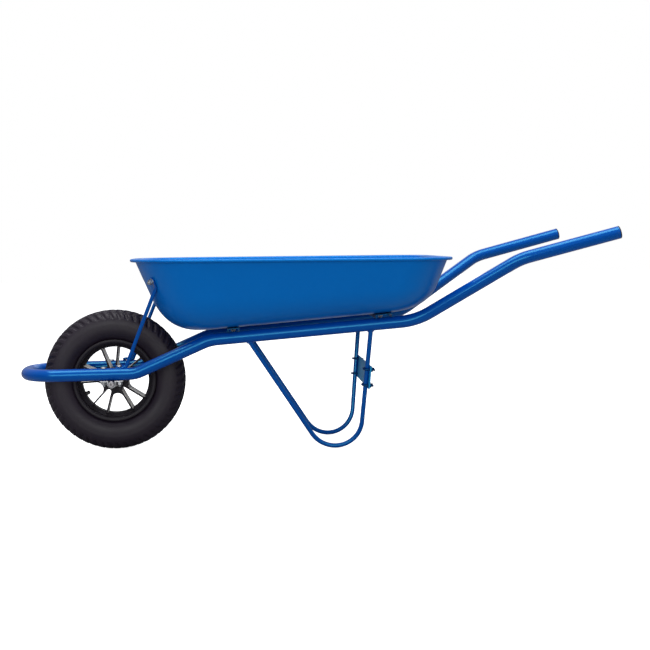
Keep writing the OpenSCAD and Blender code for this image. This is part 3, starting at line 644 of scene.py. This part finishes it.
# the spoke side walls: cream, a painted reflection of the white backdrop that the black spokes show at a grazing
# angle
spokeSideReflection = newFinish("spokeSideReflection", platedSteel,
                      {"Colour": (0.92, 0.89, 0.84, 1), "Spots": (0.60, 0.56, 0.50, 1), "Rough": 0.40,
                       "Tarnish": 0.15}, {"Metallic": 0.0})
plugPlastic = newFinish("plugPlastic", mouldedSkin, {"Colour": (0.012, 0.012, 0.014, 1), "Rough": 0.42,
                                                     "Dust": 0.3, "Pebble": 0.25, "Grain": 900.0}, {})
wheelPlastic = newFinish("wheelPlastic", mouldedSkin, {"Colour": (0.006, 0.004, 0.008, 1), "Rough": 0.42,
                                                       "Bloom": (0.026, 0.020, 0.030, 1), "Dust": 0.15,
                                                       "Pebble": 0.12, "Grain": 1100.0},
                           {"Specular IOR Level": 0.25})
tyreRubber = newFinish("tyreRubber", mouldedSkin,
                       {"Colour": (0.011, 0.007, 0.014, 1), "Bloom": (0.042, 0.030, 0.047, 1), "Rough": 0.42,
                        "Dust": 0.3, "Pebble": 0.30, "Grain": 650.0}, {"Specular IOR Level": 0.3})
softRubber = newFinish("softRubber", mouldedSkin, {"Colour": (0.015, 0.015, 0.016, 1), "Rough": 0.55,
                                                   "Dust": 0.3, "Pebble": 0.2, "Grain": 800.0}, {})
print("finishes made")


def steelPiece(name, node, parts, finish=zinc, crease=33):
    makePiece(name, onBothSides(parts), "frame", [finish], [node], crease)


def barPieces(name, parts, crease=33):
    # the right-hand piece, then its mirror image on the left
    makePiece(name + "Right", parts, "frame", [barPaint], [name + "_right"], crease)
    flipped = [mirrored(p) for p in parts]
    makePiece(name + "Left", flipped, "frame", [barPaint], [name + "_left"], crease)


def steelRings(name, node, profile, sides, body):
    # turned parts on the axle, one to each side of the middle
    part = lathe(profile, sides, closed=True)
    for side, way in (("Right", -90), ("Left", 90)):
        makePiece(name + side, [put(part, turned("X", way), centre)], body, [brightSteel],
                  [node + "_" + side.lower()])


# frame tube and plugs

def frameTube():
    # the outer skin and the bore are the same sweep at two radii, joined at both open ends
    path = np.vstack([halfPath, halfPath[::-1] * [1, -1, 1]])
    line = bentLine(path, halfBends + halfBends[::-1], 5.0)
    runs = runAlong(line)
    spots = np.unique(np.concatenate([runs, np.arange(0, runs[-1], 40.0), [0.6, runs[-1] - 0.6]]))
    line, s = walked(line, spots)
    end = np.minimum(s, runs[-1] - s)
    outer = sweep(line, (0, 0, 1), tube["radius"] - 0.6 * np.clip(1 - end / 0.6, 0, 1) ** 2, sides=tube["sides"])
    inner = sweep(line, (0, 0, 1), np.full(len(line), tube["radius"] - tube["wall"]), sides=tube["sides"])
    return skin(np.concatenate([outer, inner[::-1]]), along=True)


makePiece("frameTube", [frameTube()], "frame", [tubePaint], ["frame_tube"])

plug = dict(flange=plugFlange, inside=22.0)
for side, node in ((-1, "handle_plug_left"), (1, "handle_plug_right")):
    r, bore, f, deep = tube["radius"], tube["radius"] - tube["wall"] - seatGap, plug["flange"], -plug["inside"]
    profile = [(2, f - 0.9), (4, f - 0.35), (r - 3, f), (r - 0.8, f - 0.1), (r - 0.15, f - 0.7), (r, 1.1),
               (r - 0.1, 0.25), (r - 0.5, 0.02), (bore, 0.0), (bore - 0.2, -4), (bore, -6), (bore - 0.2, -8),
               (bore, -10), (bore - 0.6, deep), (bore - 3, deep), (bore - 3, -1)]
    z = gripDir * [1, side, 1]
    x = unit(np.cross([0, 0, 1], z))
    turn = np.stack([x, np.cross(z, x), z], 1)
    part = put(lathe(profile, 64), turn, (tip + gripDir * seatGap) * [1, side, 1])
    makePiece("handlePlug" + ("Left" if side < 0 else "Right"), [part], "frame", [plugPlastic],
              [node])
print("frame tube and plugs made")


# legs and brace

def ontoRail(points, ahead):
    # each point slides along the bar until it is the rail's radius from the rail's middle line:
    # |(point + s * ahead - railPoint) x railDirection|^2 = radius^2, the nearer answer
    rail = unit(rearBend - deckBend)
    m, k = np.cross(points - deckBend, rail), np.cross(ahead, rail)
    a, b, c = k @ k, m @ k, np.sum(m * m, -1) - (tube["radius"] + 0.05) ** 2
    return points + ((-b - np.sqrt(np.maximum(b * b - a * c, 0))) / a)[:, None] * ahead


def ringTube(centres, middle, radius, sides=10):
    # a closed bead: circles round a closed line, set square to it
    ahead = unit(np.roll(centres, -1, 0) - np.roll(centres, 1, 0))
    out = centres - middle
    out = unit(out - np.sum(out * ahead, 1, keepdims=True) * ahead)
    up = np.cross(ahead, out)
    t = angles(sides)[None, :, None]
    return skin(centres[:, None] + radius[:, None, None] * (np.cos(t) * out[:, None] + np.sin(t) * up[:, None]),
                along=True)


def legParts():
    ends = [railAt(leg["frontX"]), legApex, railAt(leg["rearX"])]
    line = bentLine(ends, [0, leg["bend"], 0], 3.0)
    line[0] += unit(line[1] - line[0]) * 30
    line[-1] += unit(line[-2] - line[-1]) * 30
    line = walked(line, 9.0)[0]
    sides = 28
    grid = sweep(line, (0, 1, 0), np.full(len(line), leg["radius"]), sides=sides)
    parts, rings = [], []
    for k, ahead in ((0, unit(ends[0] - legApex)), (-1, unit(ends[2] - legApex))):
        ring = ontoRail(grid[k], ahead)
        rings.append(ring)
        wide = np.linspace(0, sides, 84, endpoint=False)
        smooth = np.stack([np.interp(wide, np.arange(sides + 1), np.append(ring[:, a], ring[0, a]))
                           for a in range(3)], 1)
        middle = smooth.mean(0)
        bead = leg["weld"] * (1 + 0.14 * np.sin(np.linspace(0, 2 * np.pi * 15, 84)) ** 2)
        parts.append(ringTube(smooth - ahead * 0.4, middle - ahead * 0.4, bead))
    grid = np.concatenate([rings[0][None], grid, rings[1][None]])
    return [skin(grid)] + parts


barPieces("leg", legParts())

h, w = brace["height"] / 2, bracePoint[1] + brace["beyond"]
corners = [(-h, -w), (h, -w), (h, w), (-h, w)]
bracePart = plate(softCorners(corners, 7.0, 8), brace["thick"], 0.7)
faceBack = turned("Y", 90)  # the sheet's z turned to the back
braceBase = np.array([bracePoint[0], 0, bracePoint[2]]) + braceTurn @ np.array([leg["radius"] + seatGap, 0, 0])
makePiece("legBrace", [put(bracePart, braceTurn @ faceBack, braceBase)], "frame", [bracePaintedReflection],
          ["leg_brace"])

braceBend = leg["radius"] + m6["radius"] + 0.05
bolts, nuts = [], []
for z in (-brace["bolts"], brace["bolts"]):
    at = bracePoint + barTurn @ np.array([0, 0, z])
    bolts.append(put(uBolt(m6, braceBend, 20, 12), barTurn @ turned("X", 90) @ faceBack, at))
    for y in (-braceBend, braceBend):
        spot = at + barTurn @ np.array([leg["radius"] + 2 * seatGap + brace["thick"], y, 0])
        nuts.append(put(nutPart(m6), barTurn @ faceBack, spot))
# these were sprayed over together with the frame
steelPiece("braceUBolts", "brace_u_bolts", bolts, beamPaint)
steelPiece("braceNuts", "brace_nuts", nuts, beamPaint)
print("legs and brace made")


# tray, its beams and floor bolts

makePiece("tray", [trayShell()], "frame", [trayPaint], ["tray"], crease=50)


def channel(wide, tall, thick, reach):
    # an upside-down U, its two bends rounded, carried across the wheelbarrow
    w, t, r = wide / 2, thick, 3.0
    half = [(w, 0), (w, tall - r)] + [(w - r + r * math.cos(a), tall - r + r * math.sin(a))
                                      for a in np.radians([22, 45, 68])] + [(w - r, tall)]
    inner = [(w - r, tall - t), (w - t, tall - r), (w - t, 0)]
    section = np.array(half + [(-x, z) for x, z in half[::-1]] + [(-x, z) for x, z in inner[::-1]] + inner)
    return skin(np.stack([np.insert(section, 1, y, 1) for y in (-reach, -reach + 0.4, reach - 0.4, reach)]))


panHead = lathe([(1.5, 3.55), (4.2, 3.5), (5.5, 3.15), (6.9, 2.1), (7.7, 0.8), (7.9, 0.25), (7.7, 0), (4, 0)], 48)
beams = dict(front=(316.0, 31.0, 60.0), rear=(700.0, 44.0, 85.0), tall=beamTall, thick=2.5, over=20.0)
heads, washers, nuts = [], [], []
for which in ("front", "rear"):
    x, wide, boltY = beams[which]
    body = onDeck(channel(wide, beams["tall"], beams["thick"], railAt(x)[1] + beams["over"]), x, 0,
                  tube["radius"] + seatGap)
    makePiece(which + "Beam", [body], "frame", [beamPaint], [which + "_beam"], crease=45)
    under = floorHeight - beams["thick"] - seatGap
    length = tray["sheet"] + beams["thick"] + washerThick + m8["nut"] + 5
    heads.append(onDeck(panHead, x, boltY, floorHeight + tray["sheet"] + seatGap))
    shank = put(shankPart(m8, length, 12), turned("X", 180))
    heads.append(onDeck(shank, x, boltY, floorHeight + tray["sheet"] + seatGap))
    washers.append(onDeck(washerPart(m8), x, boltY, under - seatGap - washerThick))
    nuts.append(onDeck(nutPart(m8), x, boltY, under - 2 * seatGap - washerThick - m8["nut"]))
steelPiece("floorBolts", "floor_bolts", heads)
steelPiece("floorWashers", "floor_washers", washers)
steelPiece("floorNuts", "floor_nuts", nuts)
print("tray and beams made")


# stays and their bolts

def stayPart():
    # one bar from the foot on the rail to the tab on the tray; its section goes from a flat
    # (tab wide, thick tall) to a round rod and back, and each tip closes in a half circle
    half, thick = stay["tab"] / 2, stay["thick"] / 2
    normal, fall = wallTurn[:, 2], wallTurn[:, 0]
    mid = stayBolt + normal * (seatGap + thick)
    footZ = clampTop + thick + 0.02
    y = railGap / 2
    points = np.array([[stay["footFrom"] + 0.1, y, footZ], [stay["footTo"] - 3.5, y, footZ], mid + fall * 21,
                       mid - fall * (half - 0.05)])
    line, s = walked(bentLine(points, [0, 4.0, 14.0, 0], 0.8), 1.0)
    flatFoot = np.clip((24.5 - s) / 8, 0, 1)
    flatTab = np.clip((s - (s[-1] - 34)) / 12, 0, 1)
    flat = np.maximum(flatFoot, flatTab)
    flat = flat * flat * (3 - 2 * flat)
    wide = stay["rod"] + (half - stay["rod"]) * flat
    tall = stay["rod"] + (thick - stay["rod"]) * flat
    tail = np.clip(half - (s[-1] - s), 0, half)
    wide = np.minimum(wide, np.sqrt(np.maximum(half ** 2 - tail ** 2, 0.8)))
    nose = np.clip(3.0 - s, 0, 3.0)
    wide = wide - (3.0 - np.sqrt(np.maximum(9 - nose ** 2, 0)))
    square = 2 + 4.0 * flat
    ahead = unit(points[2] - points[1])
    ref = unit(wallTurn[:, 1] - ahead * (wallTurn[:, 1] @ ahead))
    return skin(sweep(line, ref, tall, wide, sides=36, square=square))


barPieces("stay", [stayPart()], 40)

slack = 0.75
boltLength = tray["sheet"] + slack + stay["thick"] + washerThick + m8["nut"] + 5
outside = wallTurn[:, 2]
bolts = [put(p, wallTurn, stayBolt - outside * (tray["sheet"] + slack)) for p in hexBolt(m8, boltLength, 16)]
washers = [put(washerPart(m8), wallTurn, stayBolt + outside * (2 * seatGap + stay["thick"]))]
nutAt = stayBolt + outside * (3 * seatGap + stay["thick"] + washerThick)
nuts = [put(nutPart(m8), wallTurn @ turned("Z", 12), nutAt)]
steelPiece("stayBolts", "stay_bolts", bolts)
steelPiece("stayWashers", "stay_washers", washers)
steelPiece("stayNuts", "stay_nuts", nuts)
print("stays made")


# axle, its clamps and spacers

acrossWheel = turned("X", 90)  # an upright part laid along the axle
axleZ = axle[2] * 1000
centre = np.array([0, 0, axleZ])
shaft = dict(radius=8.0, length=248.0, chamfer=1.2)
h, r, c = shaft["length"] / 2, shaft["radius"], shaft["chamfer"]
profile = [(1.2, -h + 3), (2.6, -h + 0.4), (2.7, -h), (r - c, -h), (r, -h + c), (r, -90), (r, 0), (r, 90),
           (r, h - c), (r - c, h), (2.7, h), (2.6, h - 0.4), (1.2, h - 3)]
makePiece("axle", [put(lathe(profile, 48), acrossWheel, centre)], "frame", [brightSteel], ["axle"])

# two straps bent under the axle, each held by two bolts that come down through the rail
clamp = dict(inner=8.05, thick=3.0, width=25.0, bolt=20.0, half=29.0, earTop=8.0, tail=5.0)


def strapPart():
    # outline from ear to ear: an outer half circle and an inner one joined by the flat ears
    out, top, low = clamp["inner"] + clamp["thick"], clamp["earTop"], clamp["earTop"] - clamp["thick"]
    a = np.radians(np.linspace(180, 360, 25))
    def underArc(r):
        return np.stack([r * np.cos(a), r * np.sin(a)], 1)
    outline = np.vstack([[[-clamp["half"], top], [-clamp["half"], low], [-out, low]], underArc(out),
                         [[out, low], [clamp["half"], low], [clamp["half"], top], [clamp["inner"], top]],
                         underArc(clamp["inner"])[::-1], [[-clamp["inner"], top]]])
    points, faces = plate(outline, clamp["width"], 0.4)
    return points - [0, 0, clamp["width"] / 2], faces


clampBase = axleZ + clamp["earTop"] - clamp["thick"]  # underside of the ears
nutBase = clampBase - 2 * seatGap - washerThick - m8["nut"]
straps = [put(strapPart(), acrossWheel, [0, railGap / 2, axleZ])]
bolts, washers, nuts = [], [], []
for x, head in ((-clamp["bolt"], clampTop), (clamp["bolt"], clampTop + stay["thick"] + seatGap)):
    shank = put(shankPart(m8, head - nutBase + clamp["tail"], 20), turned("X", 180))
    bolts += [put(p, np.eye(3), [x, railGap / 2, head]) for p in (panHead, shank)]
    washers.append(put(washerPart(m8), np.eye(3), [x, railGap / 2, clampBase - seatGap - washerThick]))
    nuts.append(put(nutPart(m8), turned("Z", 9 + x), [x, railGap / 2, nutBase]))
steelPiece("axleStraps", "axle_straps", straps, crease=40)
steelPiece("axleBolts", "axle_bolts", bolts)
steelPiece("axleWashers", "axle_washers", washers)
steelPiece("axleNuts", "axle_nuts", nuts)

spacer = dict(radius=10.0, inner=8.05, start=40.4, end=87.4)
profile = softCorners([(spacer["inner"], spacer["start"]), (spacer["radius"], spacer["start"]),
                       (spacer["radius"], spacer["end"]), (spacer["inner"], spacer["end"])], 0.7)
steelRings("axleSpacer", "axle_spacer", profile, 48, "frame")
print("axle and clamps made")


# wheel

wheel = dict(beadSeat=101.6, rimHalf=38.0, flange=5.4, wall=3.5, wellDrop=10.6, wellHalf=11.0, seatHalf=16.0,
             spoke=4.4, spokeDepth=56.0, hub=20.0, hubLength=75.0, pairs=5, pairFirst=25.0, pairHalf=14.0,
             webOut=35.0, webIn=28.0, valveAt=205.0)


def onWheel(part):
    return put(part, acrossWheel, centre)


def polar(r, degrees):
    a = np.radians(degrees)
    return np.stack([r * np.cos(a), r * np.sin(a)], -1)


def spokeStar():
    # outline of ten spokes in five pairs: each gap's bottom is an arc that touches both its spokes
    half, pitch = wheel["spoke"] / 2, 360 / wheel["pairs"]
    gapOut = pitch / 2 - wheel["pairHalf"]
    end = wheel["beadSeat"] - wheel["wellDrop"] - wheel["wall"] / 2
    reachOut = (wheel["webOut"] - half) / (1 - math.sin(math.radians(gapOut)))
    reachIn = (wheel["webIn"] - half) / (1 - math.sin(math.radians(wheel["pairHalf"])))
    def gap(reach, web, spread, mid):
        turn = mid + 180 + (90 - spread) * (1 - 2 * np.arange(19) / 18)
        return polar(reach, mid) + polar(reach - web, turn)
    def spokeEnd(a):
        return np.array([polar(end, a) + polar(half, a - 90), polar(end, a) + polar(half, a + 90)])
    points = []
    for k in range(wheel["pairs"]):
        a = wheel["pairFirst"] + pitch * k
        points += [spokeEnd(a - wheel["pairHalf"]), gap(reachIn, wheel["webIn"], wheel["pairHalf"], a),
                   spokeEnd(a + wheel["pairHalf"]), gap(reachOut, wheel["webOut"], gapOut, a + pitch / 2)]
    outline = np.vstack(points)
    # long spoke sides get points in between, so the edges shade evenly
    steps = np.linspace(0, 1, 5)[:-1, None]
    nextOne = np.roll(outline, -1, 0)
    far = np.linalg.norm(nextOne - outline, axis=1) > 12
    dense = [outline[i] * (1 - steps) + nextOne[i] * steps if far[i] else outline[i:i + 1]
             for i in range(len(outline))]
    return np.vstack(dense)


def starParts():
    # side walls and the two flat faces, each with a small rounded edge
    depth = wheel["spokeDepth"]
    points, faces = plate(spokeStar(), depth, 0.7)
    points = points - [0, 0, depth / 2]
    quads = faces[0]
    mid = points[quads].mean(1)
    radius = np.hypot(mid[:, 0], mid[:, 1])
    side = (np.abs(mid[:, 2]) < depth / 2 - 0.75) & (radius > wheel["webOut"] + 3)
    return points, quads, side, faces[1:]


def rimProfile():
    w = wheel
    well, y1 = w["beadSeat"] - w["wellDrop"], w["rimHalf"]
    half = [(well, w["wellHalf"]), (w["beadSeat"], w["seatHalf"]), (w["beadSeat"], y1 - 4),
            (w["beadSeat"] + w["flange"], y1 - 3), (w["beadSeat"] + w["flange"], y1), (w["beadSeat"] + 1, y1),
            (w["beadSeat"] - w["wall"], y1 - 1.5), (w["beadSeat"] - w["wall"], w["seatHalf"] + 2),
            (well - w["wall"], w["wellHalf"] + 2)]
    return softCorners(half + [(r, -y) for r, y in half[::-1]], 1.4)


def hubProfile():
    r, h = wheel["hub"], wheel["hubLength"] / 2
    half = [(13.1, h - 20), (13.1, h - 0.8), (13.8, h), (17.0, h), (17.4, h - 1.2), (18.6, h - 1.2), (19.0, h),
            (r - 0.6, h), (r, h - 0.8), (r, 12), (r - 0.8, 10), (r - 0.8, 4), (r, 2)]
    return half + [(a, -b) for a, b in half[::-1]]


starPoints, starQuads, starSide, starCaps = starParts()
makePiece("wheelRim", [onWheel(lathe(rimProfile(), 160, closed=True)), onWheel(lathe(hubProfile(), 72, closed=True))],
          "wheel", [wheelPlastic, spokeSideReflection], ["wheel_rim"])
starPiece = makePiece("wheelSpokes", [onWheel((starPoints, [starQuads] + starCaps))], "wheel",
                      [wheelPlastic, spokeSideReflection], crease=40)
# the side walls take the second finish, the cream painted reflection; the flat faces and the rest stay black
starPiece.data.polygons.foreach_set(
    "material_index", np.concatenate([starSide, np.zeros(2)]).astype(np.int32))

# flanged bushes in the hub ends, ringed like a small bearing
bush = dict(radius=13.0, length=20.0, flange=2.5, inner=8.05)
face = wheel["hubLength"] / 2 + bush["flange"]
profile = [(bush["inner"], face - 20), (bush["inner"], face - 0.3), (8.4, face), (9.9, face), (10.1, face - 0.5),
           (10.3, face - 0.6), (12.9, face - 0.35), (13.1, face - 0.5), (13.3, face), (15.6, face),
           (16.0, face - 0.4), (16.0, face - bush["flange"] + 0.25), (15.8, face - bush["flange"] + 0.1),
           (bush["radius"], face - bush["flange"] + 0.1), (bush["radius"], face - 20)]
steelRings("bush", "bush", profile, 60, "wheel")
print("wheel middle made")

tyre = dict(radius=185.0, half=44.0, lugs=54, steps=12, depth=5.0)


def tyreSkin():
    # section: |r|^2.5 + |y|^2.5 oval outside and a |..|^2.2 oval inside, joined under the two beads;
    # tread: blocks stand on a floor `depth` lower, cut by slots that lean across the tyre
    inner, bead = wheel["beadSeat"], wheel["rimHalf"] - 4.1
    middle, tall = (tyre["radius"] + inner) / 2, (tyre["radius"] - inner) / 2
    t = np.radians(np.linspace(-151, 151, 101))
    r = middle + tall * bulge(np.cos(t), 2 / 2.5)
    y = tyre["half"] * bulge(np.sin(t), 2 / 2.5)
    keep = r > inner + wheel["flange"] + 0.7
    r, y = r[keep], y[keep]
    foot = [(inner + wheel["flange"] + 0.65, bead - 0.2), (inner + 4, bead), (inner + 0.6, bead - 0.3),
            (inner + 0.1, bead - 1.2), (inner + 0.1, bead - 12)]
    hollow = np.radians(np.linspace(150, -150, 19))
    hr = inner + 37 + 34.6 * bulge(np.cos(hollow), 2 / 2.2)
    hy = 37.0 * bulge(np.sin(hollow), 2 / 2.2)
    foot = np.array(foot)
    radius = np.concatenate([r, foot[:, 0], hr, foot[::-1, 0]])
    across = np.concatenate([y, foot[:, 1], hy, -foot[::-1, 1]])
    outer = np.arange(len(radius)) < len(r)
    count = tyre["lugs"] * tyre["steps"]
    a = np.linspace(0, 1, count, endpoint=False)[:, None] * tyre["lugs"]
    y, r = across[None], radius[None]
    side, far = np.sign(y), np.abs(y)
    def blocks(phase, share, soft):
        # 1 on a block and 0 in the slot between two, with a short slope
        d = np.abs((phase % 1) - 0.5)
        return np.clip((share / 2 - d) / soft + 0.5, 0, 1)
    def band(low, high, soft):
        return np.clip((far - low) / soft + 0.5, 0, 1) * np.clip((high - far) / soft + 0.5, 0, 1)
    shoulder = band(15.2, 60, 1.2) * blocks(a + side * 0.25 + far * 0.030, 0.58, 0.12)
    row = band(1.8, 10.8, 1.2) * blocks(a + side * 0.25 + 0.2 - far * 0.035, 0.68, 0.12)
    rise = np.maximum(shoulder, row)
    lug = np.clip((r - 160.0) / 9.0, 0, 1)
    lug = lug * lug * (3 - 2 * lug)
    floor = np.clip((r - 163.0) / 8.0, 0, 1)
    drop = tyre["depth"] * floor * (1 - rise) * outer
    # raised ring lines and a shallow band on the side walls
    ring = 0.7 * np.exp(-((r - 112.5) / 1.1) ** 2) + 0.55 * np.exp(-((r - 150.5) / 0.9) ** 2)
    fine = 0.22 * np.exp(-((r - 146.0) / 0.6) ** 2)
    stand = (ring + fine) * outer - 0.25
    newR = r - drop
    newY = y + side * (stand * np.clip((far - 30) / 8, 0, 1) - 0.12 * drop * np.clip((far - 34) / 6, 0, 1))
    newY = np.clip(newY, -tyre["half"], tyre["half"])
    turn = 2 * np.pi * a / tyre["lugs"]
    grid = np.stack([newR * np.cos(turn), newR * np.sin(turn), newY + 0 * turn], -1)
    return skin(grid, along=True)


makePiece("tyre", [onWheel(tyreSkin())], "wheel", [tyreRubber], ["tyre"], crease=60)

valve = dict(stem=6.0, top=104.0, step=90.0, end=79.0, core=4.0, capLength=13.0)
toValve = acrossWheel @ turned("Z", wheel["valveAt"]) @ turned("Y", 90)
end, step, core, r, top = (valve[k] for k in ("end", "step", "core", "stem", "top"))
profile = [(1, end), (core - 0.5, end), (core, end + 0.5), (core, step), (r - 0.8, step + 0.1), (r, step + 1.5),
           (r, top), (1, top)]
makePiece("valveStem", [put(lathe(profile, 40), toValve, centre)], "wheel", [softRubber],
          ["valve_stem"])
low, high = end - 3, end - 3 + valve["capLength"]
profile = [(1, low), (3.6, low), (4.6, low + 0.5), (4.9, low + 1.4), (4.9, low + 6), (5.15, low + 6.6),
           (5.15, high - 0.4), (4.9, high), (core + 0.15, high), (core + 0.15, low + 3.1),
           (1, low + 3.0)]
ribs = lathe(profile, 96, wave=lambda t: 1 - 0.035 * (0.5 + 0.5 * np.cos(24 * t)))
makePiece("valveCap", [put(ribs, toValve, centre)], "wheel", [plugPlastic], ["valve_cap"])
print("tyre and valve made")

# the inner tube stays as it is, hidden in the tyre
tubeMesh = frame["nodes"]["inner_tube"].data
tubeMesh.materials.clear()
tubeMesh.materials.append(softRubber)


# floor, lights and camera

studio = dict(sky=0.55, top=75.0, topSize=(3.4, 1.6), front=58.0, frontSize=(3.4, 1.6), back=10.0)


def studioFloor():
    # a plain pale floor, a little lit of its own so that shadows on it stay faint
    side = np.linspace(-14, 14, 15)
    grid = np.stack(np.meshgrid(side, side, indexing="ij") + [np.full((15, 15), -0.0008)], -1)
    points, faces = skin(grid, around=False, caps=False)
    mesh = bpy.data.meshes.new("studioFloor")
    mesh.from_pydata(points.tolist(), [], faces[0].tolist())
    mesh.update()
    floor = newObject("studioFloor", mesh)
    m = bpy.data.materials.new("paleFloor")
    n = emptyTree(m)
    seen = n.add("ShaderNodeLightPath").outputs["Is Camera Ray"]
    tone = n.noise(n.add("ShaderNodeTexCoord").outputs["Object"], 1.5)
    pale = n.mix(n.ramp(tone, 0.3, 0.7), (0.80, 0.80, 0.80, 1), (0.82, 0.82, 0.82, 1))
    matt = n.add("ShaderNodeBsdfDiffuse", {"Color": pale}).outputs[0]
    dim = n.add("ShaderNodeBsdfDiffuse", {"Color": (0.30, 0.30, 0.30, 1)}).outputs[0]
    glow = n.add("ShaderNodeEmission", {"Color": (1, 1, 1, 1), "Strength": 0.93}).outputs[0]
    both = n.add("ShaderNodeAddShader", {0: matt, 1: glow}).outputs[0]
    shown = n.add("ShaderNodeMixShader", {0: seen, 1: dim, 2: both}).outputs[0]
    n.add("ShaderNodeOutputMaterial", {"Surface": shown})
    mesh.materials.append(m)


def studioSky():
    # white where the camera sees it, dimmer as light: brighter overhead than low down
    world = bpy.data.worlds.new("studioSky")
    bpy.context.scene.world = world
    n = emptyTree(world)
    seen = n.add("ShaderNodeLightPath").outputs["Is Camera Ray"]
    up = n.add("ShaderNodeSeparateXYZ", {0: n.add("ShaderNodeTexCoord").outputs["Generated"]}).outputs["Z"]
    level = n.ramp(up, -0.2, 0.7, (0.35, 1.0))
    light = n.add("ShaderNodeBackground", {"Color": (0.93, 0.96, 1, 1),
                                           "Strength": n.sums("MULTIPLY", level, studio["sky"])}).outputs[0]
    white = n.add("ShaderNodeBackground", {"Color": (1, 1, 1, 1), "Strength": 1.0}).outputs[0]
    shown = n.add("ShaderNodeMixShader", {0: seen, 1: light, 2: white}).outputs[0]
    n.add("ShaderNodeOutputWorld", {"Surface": shown})


def standing(name, data, side, up, back, at):
    # a lamp or camera whose own axes are side, up and back
    thing = newObject(name, data)
    thing.matrix_world = Matrix(np.vstack([np.column_stack([side, up, back, at]), [0, 0, 0, 1]]))
    return thing


def softBox(name, at, aim, size, power):
    lamp = bpy.data.lights.new(name, "AREA")
    lamp.shape = "RECTANGLE"
    lamp.size, lamp.size_y = size
    lamp.energy = power
    back = unit(np.array(at, float) - np.array(aim, float))
    side = unit(np.cross([0.0, 0.001, 1.0], back))
    standing(name, lamp, side, np.cross(back, side), back, at)


studioFloor()
studioSky()
softBox("topSoftBox", (0.0, -0.5, 2.7), (0.0, 0.0, 0.3), studio["topSize"], studio["top"])
softBox("frontSoftBox", (-0.9, -3.9, 1.0), (0.0, 0.0, 0.3), studio["frontSize"], studio["front"])
softBox("backSoftBox", (0.3, 2.6, 1.9), (0.0, 0.0, 0.3), (3.0, 1.2), studio["back"])

lens = bpy.data.cameras.new("mainCamera")
lens.lens, lens.sensor_width = 63.97, 36.0
lens.clip_start, lens.clip_end = 0.05, 60.0
place, aim, roll = np.array([-0.1996988, -3.0858518, 0.5421392]), np.array([0.0411964, 0.0, 0.3150674]), -1.08848
ahead = unit(aim - place)
level = unit(np.cross(ahead, [0, 0, 1]))
top = np.cross(level, ahead)
c, s = math.cos(math.radians(roll)), math.sin(math.radians(roll))
side, up = c * level + s * top, c * top - s * level
bpy.context.scene.camera = standing("mainCamera", lens, side, up, -ahead, place)
view = bpy.context.scene.view_settings
view.view_transform, view.look, view.exposure, view.gamma = "Standard", "None", 0.0, 1.0
print("studio ready")
